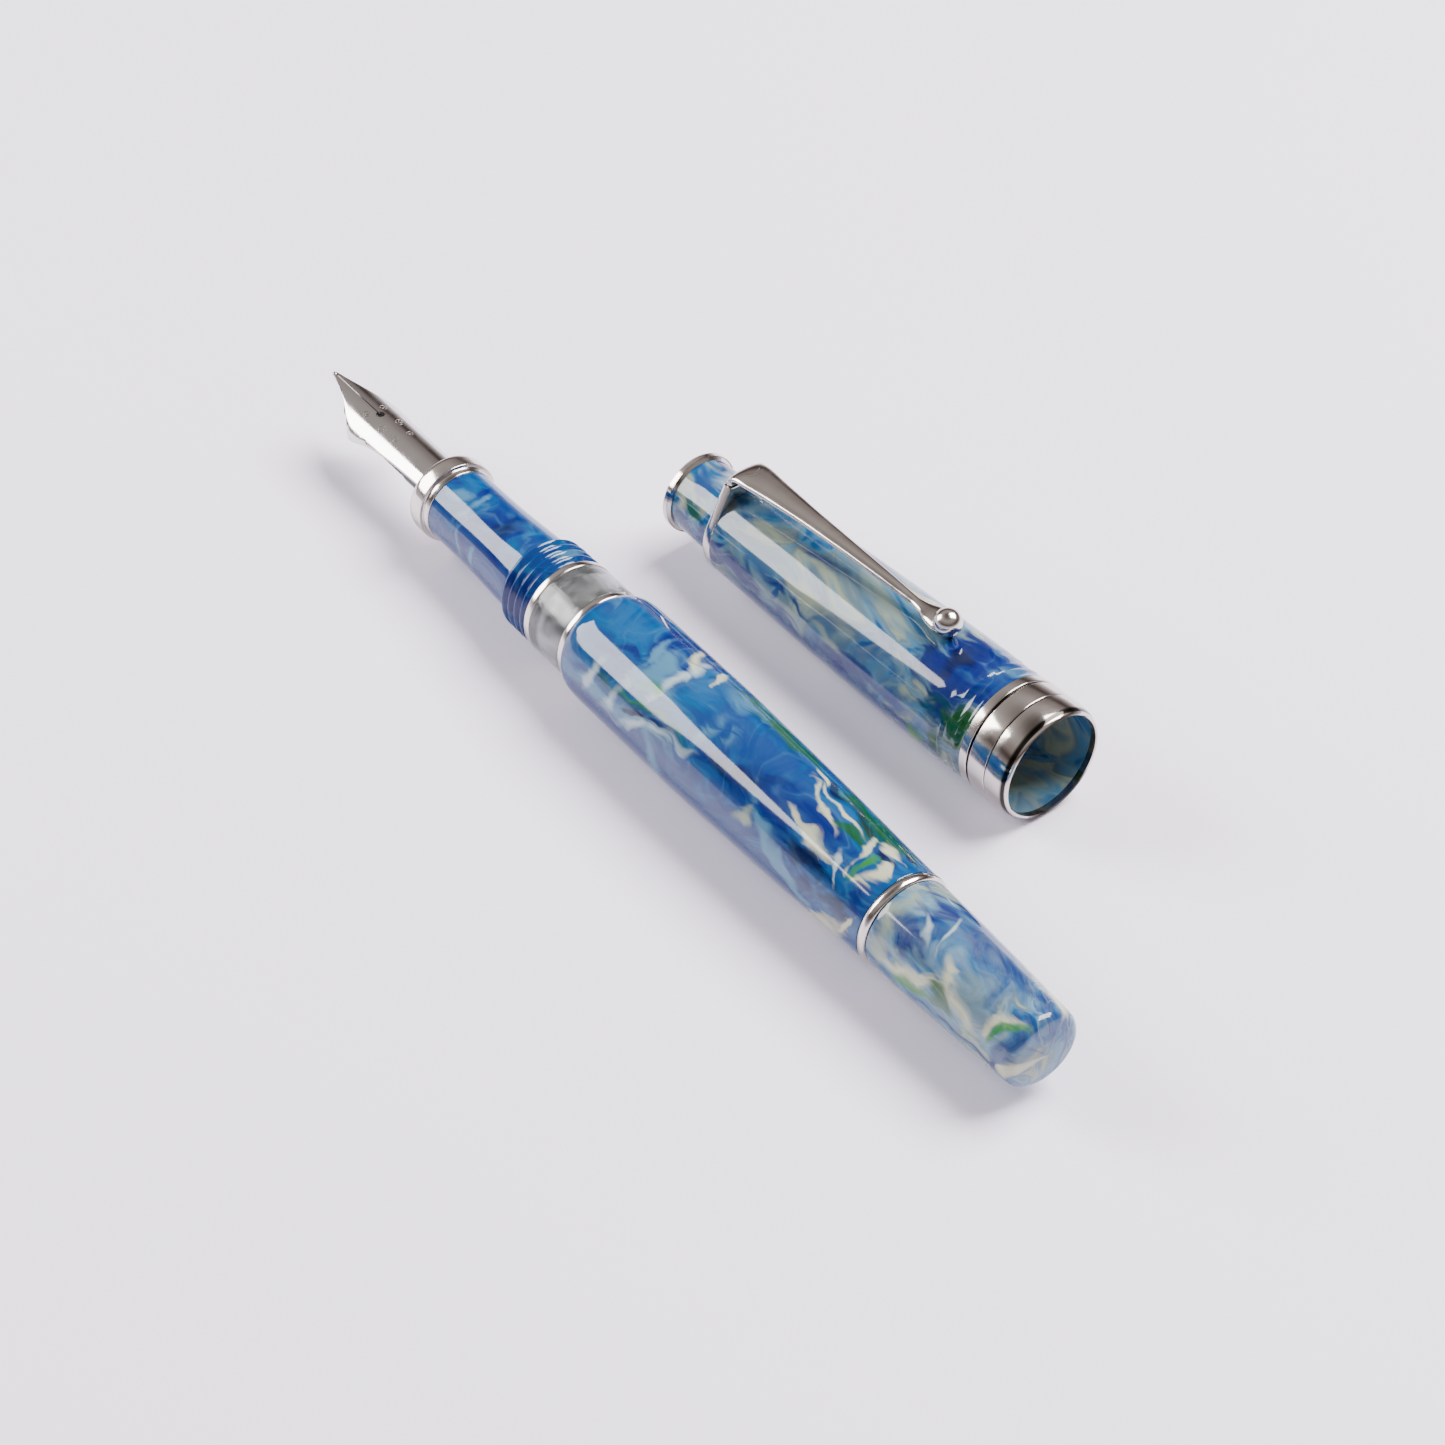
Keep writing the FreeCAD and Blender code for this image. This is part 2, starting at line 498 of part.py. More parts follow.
doc.recompute()
for thing in doc.Objects:
    assert "Invalid" not in thing.State and "Error" not in thing.State, (thing.Name, thing.State)
os.makedirs("parts", exist_ok=True)
for piece in sub_parts:
    assert not piece.Shape.isNull() and piece.Shape.isValid(), piece.Label
    piece.Shape.exportStep(f"parts/{piece.Label}.step")
    print(piece.Label, len(piece.Shape.Solids), round(piece.Shape.Volume, 2))
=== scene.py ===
import json
import math
from types import SimpleNamespace

import bmesh
import bpy
from mathutils import Matrix, Vector


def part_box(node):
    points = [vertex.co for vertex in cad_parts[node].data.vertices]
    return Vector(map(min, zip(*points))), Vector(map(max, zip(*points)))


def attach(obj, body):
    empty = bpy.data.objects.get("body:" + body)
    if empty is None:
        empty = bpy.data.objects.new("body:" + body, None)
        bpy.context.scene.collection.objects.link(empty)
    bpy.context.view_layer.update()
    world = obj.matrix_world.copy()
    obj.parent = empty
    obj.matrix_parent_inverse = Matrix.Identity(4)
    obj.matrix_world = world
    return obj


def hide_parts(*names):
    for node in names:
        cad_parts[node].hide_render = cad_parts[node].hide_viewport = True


# A fountain pen with a piston filler and its screw cap, both turned from marbled resin.
# Each turned piece is drawn in its own frame in millimetres: X is the axis, with 0 at the
# barrel's front face for the pen and 0 at the mouth for the cap.

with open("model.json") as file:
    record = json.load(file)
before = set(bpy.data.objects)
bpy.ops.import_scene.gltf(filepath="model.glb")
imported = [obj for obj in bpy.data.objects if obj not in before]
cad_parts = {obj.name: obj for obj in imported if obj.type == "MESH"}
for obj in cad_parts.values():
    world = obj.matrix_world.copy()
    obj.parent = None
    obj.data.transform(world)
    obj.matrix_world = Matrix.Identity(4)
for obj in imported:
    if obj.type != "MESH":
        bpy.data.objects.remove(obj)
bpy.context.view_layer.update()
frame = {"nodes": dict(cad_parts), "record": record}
nodes = frame["nodes"]
mounts = {mount["name"]: mount for mount in frame["record"]["mounts"]}
mm = 0.001
fineTurn = 160      # faces round a piece that shows
coarseTurn = 96     # faces round the feed
sharpAngle = math.radians(35)

gripPlace = Vector(mounts["barrel_grip"]["pos_m"])
penSpot = Matrix.Translation((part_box("barrel")[0].x, gripPlace.y, gripPlace.z))
mouthAxis = Vector(mounts["cap_mouth"]["axis"])
mouthPlace = Vector(mounts["cap_mouth"]["pos_m"])
mouthPlace += mouthAxis * mounts["cap_mouth"]["dims"]["length_mm"] / 2 * mm
capSpot = Matrix.Translation(mouthPlace) @ Matrix.Rotation(
    math.atan2(mouthAxis.y, mouthAxis.x), 4, "Z")


def measured(node, spot):
    # lowest and highest station, widest and narrowest radius of a node, in millimetres
    inverse = spot.inverted()
    places = [inverse @ vertex.co for vertex in nodes[node].data.vertices]
    radii = [math.hypot(place.y, place.z) / mm for place in places]
    stations = [place.x / mm for place in places]
    return SimpleNamespace(low=min(stations), high=max(stations), outer=max(radii), inner=min(radii))


# Materials

def addNode(tree, kind, place=(0, 0), values=None, **settings):
    # a plain value is set on its socket, and another node's output is linked to it
    node = tree.nodes.new("ShaderNode" + kind)
    node.location = place
    for key, setting in settings.items():
        setattr(node, key, setting)
    for key, given in (values or {}).items():
        if isinstance(given, bpy.types.NodeSocket):
            tree.links.new(given, node.inputs[key])
        elif given is not None:
            node.inputs[key].default_value = given
    return node


def mathNode(tree, operation, *given):
    return addNode(tree, "Math", values=dict(enumerate(given)), operation=operation).outputs[0]


def vectorNode(tree, operation, first, second=None, scale=None):
    node = addNode(tree, "VectorMath", values={0: first, 1: second, "Scale": scale},
                   operation=operation)
    return node.outputs[0]


def lengthNode(tree, vector):
    return addNode(tree, "VectorMath", values={0: vector}, operation="LENGTH").outputs["Value"]


def noiseNode(tree, vector, scale, detail=2.0, roughness=0.5, distortion=0.0, output="Fac"):
    node = addNode(tree, "TexNoise", values={"Vector": vector, "Scale": scale, "Detail": detail,
                                             "Roughness": roughness, "Distortion": distortion})
    return node.outputs[output]


def stepNode(tree, given, low, high, lowOut=0.0, highOut=1.0):
    # smooth step between two values
    node = addNode(tree, "MapRange", interpolation_type="SMOOTHSTEP",
                   values={"Value": given, "From Min": low, "From Max": high,
                           "To Min": lowOut, "To Max": highOut})
    return node.outputs["Result"]


def rampNode(tree, given, stops):
    node = addNode(tree, "ValToRGB", values={"Fac": given})
    ramp = node.color_ramp
    ramp.interpolation = "EASE"
    while len(ramp.elements) < len(stops):
        ramp.elements.new(0.5)
    for element, (place, colour) in zip(ramp.elements, stops):
        element.position = place
        element.color = (*colour, 1)
    return node.outputs["Color"]


def mixColour(tree, factor, first, second):
    first, second = [(*given, 1) if isinstance(given, tuple) else given
                     for given in (first, second)]
    node = addNode(tree, "Mix", values={0: factor, 6: first, 7: second}, data_type="RGBA",
                   clamp_factor=True)
    return node.outputs[2]


def newGroup(name, inputs, outputs):
    # an input with a number is a value and any other a vector; of the outputs only Place is one
    group = bpy.data.node_groups.new(name, "ShaderNodeTree")
    for label, default in inputs.items():
        kind = "NodeSocketFloat" if isinstance(default, float) else "NodeSocketVector"
        socket = group.interface.new_socket(name=label, in_out="INPUT", socket_type=kind)
        if default is not None:
            socket.default_value = default
    for label in outputs:
        kind = "NodeSocketVector" if label == "Place" else "NodeSocketFloat"
        group.interface.new_socket(name=label, in_out="OUTPUT", socket_type=kind)
    entry = group.nodes.new("NodeGroupInput")
    entry.location = (-900, 0)
    leave = group.nodes.new("NodeGroupOutput")
    leave.location = (900, 0)
    return group, entry.outputs, leave.inputs


def bentPlace(tree, place, readAt, scale, detail, amount):
    # pushes a place about by noise that is read at another place
    push = noiseNode(tree, readAt, scale, detail, output="Color")
    push = vectorNode(tree, "SUBTRACT", push, (0.5, 0.5, 0.5))
    push = vectorNode(tree, "SCALE", push, scale=amount)
    return vectorNode(tree, "ADD", place, push)


def swirlGroup():
    # poured resin: flow lines bent twice, with threads of other colours drawn out in them
    group, given, out = newGroup(
        "pouredSwirl", {"Vector": None, "Scale": 0.16, "Bend": 2.6, "Shift": (0.0, 0.0, 0.0),
                        "Stretch": (0.6, 1.0, 1.0)},
        ("Swirl", "Thread", "Blob", "Patch", "Mist"))
    flow = vectorNode(group, "SCALE", given["Vector"], scale=given["Scale"])
    flow = vectorNode(group, "MULTIPLY", flow, given["Stretch"])
    flow = vectorNode(group, "ADD", flow, given["Shift"])
    flow = bentPlace(group, flow, flow, 0.75, 0.0, given["Bend"])
    flow = bentPlace(group, flow, flow, 1.5, 1.0, 1.15)
    # label, shift, noise scale, detail, roughness, distortion, and where the mask starts and ends
    for label, shift, scale, detail, rough, distortion, low, high in (
            ("Swirl", (0.0, 0.0, 0.0), 1.1, 3.0, 0.45, 0.35, 0.24, 0.76),
            ("Blob", (-3.1, 9.2, 1.7), 0.8, 2.5, 0.5, 0.8, 0.50, 0.64),
            ("Patch", (5.9, -6.4, 8.8), 0.9, 2.0, 0.5, 1.0, 0.56, 0.66),
            ("Mist", (0.0, 0.0, 0.0), 3.4, 5.0, 0.62, 0.0, 0.3, 0.72)):
        moved = vectorNode(group, "ADD", flow, shift)
        cloud = noiseNode(group, moved, scale, detail, rough, distortion)
        group.links.new(stepNode(group, cloud, low, high), out[label])
    # a thread lies where one more noise is close to its middle value
    moved = vectorNode(group, "ADD", flow, (7.3, 2.1, 4.4))
    thread = noiseNode(group, moved, 1.0, 2.0, 0.4, 0.5)
    away = mathNode(group, "ABSOLUTE", mathNode(group, "SUBTRACT", thread, 0.5))
    fine = noiseNode(group, flow, 6.0, 3.0, 0.6)
    away = mathNode(group, "ADD", away, mathNode(group, "MULTIPLY", fine, 0.022))
    group.links.new(stepNode(group, away, 0.006, 0.055, 1.0, 0.0), out["Thread"])
    return group


def streakGroup():
    # one poured streak on the unrolled surface: a soft oval at a place, turned and sized
    group, given, out = newGroup(
        "pouredStreak", {"Place": None, "Centre": (0.0, 0.0, 0.0), "Size": (1.0, 1.0, 1.0),
                         "Turn": 0.0, "Soft": 0.4, "Ragged": 0.0}, ("Mask",))
    away = vectorNode(group, "SUBTRACT", given["Place"], given["Centre"])
    angle = mathNode(group, "MULTIPLY", given["Turn"], -math.pi / 180)
    turned = addNode(group, "VectorRotate", rotation_type="Z_AXIS",
                     values={"Vector": away, "Angle": angle}).outputs[0]
    reach = lengthNode(group, vectorNode(group, "DIVIDE", turned, given["Size"]))
    frayed = mathNode(group, "ADD", reach, given["Ragged"])
    inside = mathNode(group, "SUBTRACT", 1.0, given["Soft"])
    outside = mathNode(group, "ADD", 1.0, given["Soft"])
    group.links.new(stepNode(group, frayed, inside, outside, 1.0, 0.0), out["Mask"])
    return group


def unrolledGroup():
    # station and arc length round the axis, both bent by the resin's flow
    group, given, out = newGroup(
        "unrolledFlow", {"Vector": None, "Radius": 6.5, "Wander": 2.6, "Curl": 2.0},
        ("Place", "Ragged"))
    apart = addNode(group, "SeparateXYZ", values={0: given["Vector"]}).outputs
    angle = mathNode(group, "ARCTAN2", mathNode(group, "MULTIPLY", apart[1], -1.0), apart[2])
    arc = mathNode(group, "MULTIPLY", angle, given["Radius"])
    place = addNode(group, "CombineXYZ", values={0: apart[0], 1: arc}).outputs[0]
    for scale, detail, amount in ((0.16, 0.0, given["Wander"]), (0.36, 0.0, given["Curl"]),
                                  (1.1, 1.0, 0.34)):
        place = bentPlace(group, place, given["Vector"], scale, detail, amount)
    place = vectorNode(group, "MULTIPLY", place, (1.0, 1.0, 0.0))
    group.links.new(place, out["Place"])
    fibre = noiseNode(group, vectorNode(group, "MULTIPLY", place, (0.2, 0.75, 1.0)), 1.0)
    fray = mathNode(group, "MULTIPLY", mathNode(group, "SUBTRACT", fibre, 0.47), 3.0)
    group.links.new(fray, out["Ragged"])
    return group


def handlingGroup():
    # polish lines and handling marks on a glossy surface
    group, given, out = newGroup(
        "handlingMarks", {"Vector": None, "Smooth": 0.05, "Marks": 0.08}, ("Roughness", "Height"))
    smudge = stepNode(group, noiseNode(group, given["Vector"], 0.22, 4.0, 0.6), 0.42, 0.75)
    along = vectorNode(group, "MULTIPLY", given["Vector"], (0.5, 6.0, 6.0))
    lines = noiseNode(group, along, 1.4, 3.0, 0.7)
    streak = mathNode(group, "MULTIPLY", lines, mathNode(group, "MULTIPLY", given["Marks"], 0.35))
    total = mathNode(group, "ADD", mathNode(group, "MULTIPLY", smudge, given["Marks"]), streak)
    group.links.new(mathNode(group, "ADD", total, given["Smooth"]), out["Roughness"])
    group.links.new(lines, out["Height"])
    return group


swirlEffect = swirlGroup()
streakEffect = streakGroup()
unrolledEffect = unrolledGroup()
handlingEffect = handlingGroup()


def startMaterial(name, principled):
    material = bpy.data.materials.new(name)
    material.use_nodes = True
    tree = material.node_tree
    tree.nodes.clear()
    shader = addNode(tree, "BsdfPrincipled", (600, 0), principled)
    addNode(tree, "OutputMaterial", (900, 0), {0: shader.outputs[0]})
    place = addNode(tree, "TexCoord", (-1200, 0)).outputs["Object"]
    inMm = vectorNode(tree, "SCALE", place, scale=1 / mm)
    return material, tree, shader, inMm


def finishSurface(tree, shader, place, colour, smooth, marks, bump, depth):
    # colour, and the handling marks in roughness and bump
    group = addNode(tree, "Group", (100, -300), node_tree=handlingEffect,
                    values={"Vector": place, "Smooth": smooth, "Marks": marks})
    raised = addNode(tree, "Bump", (350, -300), {"Strength": bump, "Distance": depth,
                                                 "Height": group.outputs["Height"]})
    tree.links.new(colour, shader.inputs["Base Color"])
    tree.links.new(group.outputs["Roughness"], shader.inputs["Roughness"])
    tree.links.new(raised.outputs["Normal"], shader.inputs["Normal"])


resinColours = {
    "navy": (0.0002, 0.0009, 0.03), "cobalt": (0.0001, 0.006, 0.10),
    "azure": (0.0003, 0.025, 0.135), "sky": (0.001, 0.064, 0.19), "pale": (0.055, 0.16, 0.26),
    "cream": (0.46, 0.46, 0.31), "green": (0.0008, 0.05, 0.004), "leaf": (0.018, 0.15, 0.012),
    "mist": (0.085, 0.14, 0.175), "dusk": (0.009, 0.028, 0.12), "olive": (0.006, 0.016, 0.010),
    "teal": (0.001, 0.032, 0.062), "bone": (0.22, 0.26, 0.19), "milk": (0.33, 0.42, 0.45),
}


def pour(tree, colour, mask, amount, key):
    # lays one more colour over the others: one of the resin's own, or painted shade
    return mixColour(tree, mathNode(tree, "MULTIPLY", mask, amount), colour, resinColours[key])


def resinMaterial(name, look):
    # look["streaks"]: colour, station, degrees round from the top, half length, half width,
    # turn in degrees, softness, in the order that they are laid over each other; the long dusk
    # streaks low on the side of the section, barrel and cap are painted shade
    material, tree, shader, place = startMaterial(name, {"IOR": 1.49})
    swirl = addNode(tree, "Group", (-600, 0), node_tree=swirlEffect,
                    values={"Vector": place, "Scale": look["scale"], "Bend": look["bend"],
                            "Shift": look["shift"]}).outputs
    unrolled = addNode(tree, "Group", (-600, -300), node_tree=unrolledEffect,
                       values={"Vector": place, "Radius": look["radius"]}).outputs
    colour = rampNode(tree, swirl["Swirl"],
                      [(stop, resinColours[key]) for stop, key in look["ramp"]])
    for label in ("Blob", "Patch", "Thread"):
        colour = pour(tree, colour, swirl[label], look[label], look[label.lower() + "Colour"])
    for key, station, degrees, length, width, turn, soft in look["streaks"]:
        streak = addNode(tree, "Group", node_tree=streakEffect, values={
            "Place": unrolled["Place"], "Ragged": unrolled["Ragged"],
            "Centre": (station, math.radians(degrees) * look["radius"], 0),
            "Size": (length, width, 1), "Turn": turn, "Soft": soft})
        colour = pour(tree, colour, streak.outputs["Mask"], look["cover"], key)
    colour = pour(tree, colour, swirl["Mist"], look["smoke"], look["smokeColour"])
    colour = pour(tree, colour, swirl["Thread"], look["wisp"], "pale")
    finishSurface(tree, shader, place, colour, 0.05, 0.05, 0.015, 0.00002)
    return material


def metalMaterial(name, base, tint, smooth, marks, grooveShade=None):
    # the groove radii at top and bottom, and the colour of the painted shade laid in the grooves
    material, tree, shader, place = startMaterial(name, {"Metallic": 1.0})
    colour = mixColour(tree, noiseNode(tree, place, 0.5, 3.0), base, tint)
    if grooveShade:
        reach = lengthNode(tree, vectorNode(tree, "MULTIPLY", place, (0.0, 1.0, 1.0)))
        shallow = stepNode(tree, reach, *grooveShade["top"], 1.0, 0.0)
        outside = stepNode(tree, reach, *grooveShade["bottom"])
        # painted shade: the grooves are darkened in colour
        paintedGrooveShade = mathNode(tree, "MULTIPLY", shallow, outside)
        colour = mixColour(tree, paintedGrooveShade, colour, grooveShade["colour"])
    finishSurface(tree, shader, place, colour, smooth, marks, 0.03, 0.00002)
    return material


def plainMaterial(name, base, tint, smooth, marks, ior):
    material, tree, shader, place = startMaterial(name, {"IOR": ior})
    speckle = stepNode(tree, noiseNode(tree, place, 2.2, 5.0, 0.65), 0.35, 0.7)
    colour = mixColour(tree, speckle, base, tint)
    finishSurface(tree, shader, place, colour, smooth, marks, 0.12, 0.00005)
    return material


def windowMaterial():
    # smoky acrylic, with painted reflections mottled into its colour as the inside of a clear tube
    # shows them
    material, tree, shader, place = startMaterial("clearAcrylic", {
        "IOR": 1.49, "Metallic": 0.0, "Transmission Weight": 0.9})
    # painted reflection: light and dark patches laid into the colour
    reflectionMottle = stepNode(tree, noiseNode(tree, place, 0.32, 1.5, 0.45, 1.6), 0.36, 0.64)
    colour = mixColour(tree, reflectionMottle, (0.34, 0.36, 0.37), (0.80, 0.82, 0.83))
    finishSurface(tree, shader, place, colour, 0.05, 0.12, 0.12, 0.00012)
    return material


sectionLook = {
    "shift": (1.3, 4.2, 0.8), "scale": 0.17, "bend": 2.2, "radius": 4.9, "cover": 0.9,
    "ramp": [(0.0, "cobalt"), (0.35, "azure"), (0.6, "sky"), (0.85, "azure"), (1.0, "sky")],
    "blobColour": "cobalt", "Blob": 0.5, "patchColour": "sky", "Patch": 0.4,
    "threadColour": "pale", "Thread": 0.15, "smoke": 0.12, "smokeColour": "sky", "wisp": 0.12,
    "streaks": [
        # the first dusk streak, along the whole grip low on its side, is painted shade
        ("dusk", -22, 95, 9, 2.2, 0, 0.7), ("sky", -27, 15, 3.0, 1.4, 20, 0.6),
        ("cobalt", -26.6, -5, 0.7, 1.8, 5, 0.6), ("pale", -25.2, 12, 0.6, 2.6, 8, 0.7),
        ("pale", -28.3, 22, 1.5, 0.5, -30, 0.7), ("cobalt", -18.4, 8, 2.4, 2.3, 10, 0.6),
        ("navy", -18.8, 12, 1.3, 1.2, -30, 0.8), ("azure", -21.5, -20, 2.5, 1.0, 0, 0.5),
        ("pale", -23.9, 72, 0.35, 2.6, -6, 0.6), ("cobalt", -22.4, 72, 0.8, 2.0, -5, 0.5),
        ("pale", -20.8, 80, 0.4, 2.4, -12, 0.6), ("cobalt", -17.5, 58, 1.8, 0.8, 10, 0.6),
        ("azure", -28.5, 58, 2.2, 0.9, 0, 0.6), ("cobalt", -10.5, 70, 3.2, 4.0, 0, 0.5),
        ("azure", -11.0, 10, 3.0, 2.0, 0, 0.6), ("pale", -10.2, -18, 0.5, 1.6, 0, 0.7)],
}
barrelLook = {
    "shift": (3.7, 0.4, 2.9), "scale": 0.13, "bend": 2.4, "radius": 6.6, "cover": 0.94,
    "ramp": [(0.0, "cobalt"), (0.3, "azure"), (0.6, "sky"), (0.82, "azure"), (1.0, "pale")],
    "blobColour": "cobalt", "Blob": 0.35, "patchColour": "sky", "Patch": 0.5,
    "threadColour": "pale", "Thread": 0.16, "smoke": 0.10, "smokeColour": "pale", "wisp": 0.10,
    "streaks": [
        ("cobalt", 5, -26, 9, 0.9, 0, 0.5), ("sky", 7.4, 14, 2.4, 2.2, 0, 0.8),
        ("cobalt", 11, -4, 0.8, 3.0, -20, 0.6), ("cobalt", 8.5, 26, 2.6, 0.7, -20, 0.5),
        ("pale", 11.4, 5, 0.5, 3.0, -12, 0.8), ("pale", 13.4, 8, 1.5, 3.4, 0, 0.7),
        ("milk", 15.9, 6, 0.8, 4.6, 3, 0.8), ("cream", 14.6, -26, 0.5, 1.8, -35, 0.8),
        ("leaf", 15.1, 31, 1.3, 0.7, 10, 0.7), ("sky", 20.3, 12, 3.0, 3.4, 0, 0.7),
        ("cream", 19.3, -22, 0.4, 1.5, -30, 0.5), ("pale", 24.2, 22, 0.7, 3.4, 12, 0.8),
        ("azure", 22, 24, 1.8, 0.8, 0, 0.6), ("azure", 31, 5, 8, 3.2, 0, 0.5),
        # the long dusk streak at 98 degrees, the whole barrel's length, is painted shade along its
        # lower side
        ("dusk", 22, 98, 30, 4.4, 0, 0.35), ("pale", 12, 72, 9, 0.9, -4, 0.7),
        ("teal", 15, 54, 8, 0.5, -4, 0.6), ("leaf", 16, 52, 5, 0.3, -3, 0.8),
        ("milk", 6.7, 66, 0.6, 1.8, 20, 0.8), ("milk", 11, 66, 0.6, 1.8, 25, 0.8),
        ("navy", 14.5, 65, 1.6, 0.5, -15, 0.4), ("navy", 19, 60, 4.0, 0.25, -6, 0.5),
        ("milk", 17.5, 71, 5.5, 0.6, -16, 0.8), ("pale", 18.6, 92, 0.9, 3.0, -14, 0.8),
        ("cobalt", 6, 104, 4.5, 1.5, 0, 0.9), ("cobalt", 27.5, 44, 3.4, 0.6, -28, 0.6),
        ("navy", 31.5, 36, 4.2, 1.1, -22, 0.5), ("cobalt", 37, 42, 6, 2.4, 8, 0.6),
        ("bone", 34.3, 63, 0.9, 1.1, 10, 0.7), ("pale", 40, 74, 6, 0.7, 28, 0.6),
        ("green", 30, -32, 6.5, 1.4, 3, 0.4), ("green", 46, -30, 6.5, 2.2, 0, 0.4),
        ("olive", 44.5, -17, 3.4, 0.8, 3, 0.5), ("navy", 40.3, -17, 2.2, 0.5, 22, 0.5),
        ("cream", 37, -18, 1.8, 0.3, 12, 0.5), ("cream", 43, -5, 3.6, 0.28, 6, 0.5),
        ("cream", 42, 7, 4.0, 0.35, 18, 0.6), ("green", 46, 6, 2.2, 0.95, -8, 0.35),
        ("cream", 48.8, 6, 0.5, 2.2, -22, 0.5), ("navy", 51.6, -4, 2.3, 0.6, -6, 0.4),
        ("cream", 51.2, -15, 2.4, 0.9, 12, 0.4), ("navy", 52.5, -32, 0.8, 0.7, 0, 0.4),
        ("leaf", 50.9, 16, 1.0, 1.4, -15, 0.4), ("cream", 52.6, 13, 1.0, 1.9, 20, 0.35),
        ("cream", 43.6, 36, 3.0, 0.9, 10, 0.45), ("milk", 48.3, 42, 1.8, 0.3, 60, 0.6),
        ("navy", 45.0, 56, 4.4, 1.7, 9, 0.35), ("navy", 50.4, 72, 2.8, 1.3, 20, 0.5),
        ("cobalt", 53, 50, 1.0, 2.6, 0, 0.5), ("pale", 44, 88, 4.6, 0.9, 30, 0.6),
        ("cream", 49.5, 108, 3.6, 1.7, -28, 0.5), ("cream", 52.7, 84, 1.6, 0.35, -50, 0.5),
        ("cream", 20, 190, 6, 0.7, 15, 0.5), ("green", 34, 200, 5, 1.2, -12, 0.5),
        ("navy", 12, -120, 4, 1.2, 10, 0.5), ("cream", 30, -95, 5, 0.5, -14, 0.5),
        ("leaf", 42, -110, 3, 1.0, 20, 0.5), ("cream", 45, 160, 3, 1.4, 30, 0.5)],
}
knobLook = {
    "shift": (9.1, 1.2, 6.3), "scale": 0.16, "bend": 2.2, "radius": 5.2, "cover": 0.9,
    "ramp": [(0.0, "dusk"), (0.3, "sky"), (0.5, "pale"), (0.7, "mist"), (0.86, "bone"),
             (1.0, "sky")],
    "blobColour": "dusk", "Blob": 0.5, "patchColour": "mist", "Patch": 0.5,
    "threadColour": "milk", "Thread": 0.3, "smoke": 0.16, "smokeColour": "milk", "wisp": 0.2,
    "streaks": [
        ("bone", 57.2, 55, 1.3, 4.2, 0, 0.8), ("dusk", 68, -18, 11, 1.3, 0, 0.6),
        ("cobalt", 62, -38, 3.0, 0.6, 6, 0.6), ("cobalt", 60.4, 4, 2.1, 2.0, -10, 0.5),
        ("cobalt", 60.2, 46, 1.7, 1.3, -30, 0.5), ("dusk", 58.6, 38, 1.2, 0.7, 20, 0.8),
        ("milk", 60.6, 24, 1.1, 0.28, 25, 0.7), ("milk", 63.0, 12, 0.3, 1.9, -18, 0.7),
        ("cobalt", 65.8, -3, 2.6, 0.5, 0, 0.8), ("sky", 64.5, 24, 1.0, 1.8, 0, 0.8),
        ("mist", 70.5, 33, 3.4, 1.8, 0, 0.7), ("cream", 66.5, 48, 0.8, 2.2, -30, 0.6),
        ("cream", 62.5, 72, 4.2, 0.9, -18, 0.6), ("cream", 70.5, 66, 3.4, 0.7, 4, 0.6),
        ("cream", 74.6, 42, 2.4, 0.7, -45, 0.6), ("leaf", 62.5, 86, 3.6, 0.9, -16, 0.6),
        ("green", 67.4, 71, 2.2, 0.7, 20, 0.5), ("leaf", 65.0, 78, 0.8, 0.7, -50, 0.7),
        ("leaf", 75.3, 50, 2.8, 0.6, -50, 0.5), ("leaf", 71.2, 73, 0.8, 0.3, 0, 0.8),
        ("cobalt", 71.5, 93, 4.6, 0.55, -4, 0.5), ("pale", 70.5, 98, 3.4, 0.16, -3, 0.5),
        ("dusk", 76.6, 70, 2.6, 0.9, -50, 0.5), ("cream", 77.4, 96, 1.2, 1.0, -50, 0.5),
        ("cream", 74, -45, 3.5, 0.8, 8, 0.5), ("leaf", 66, 170, 4, 0.7, 20, 0.5),
        ("cobalt", 70, -110, 3, 1.4, -20, 0.6), ("cream", 62, -130, 3, 0.9, 25, 0.6)],
}
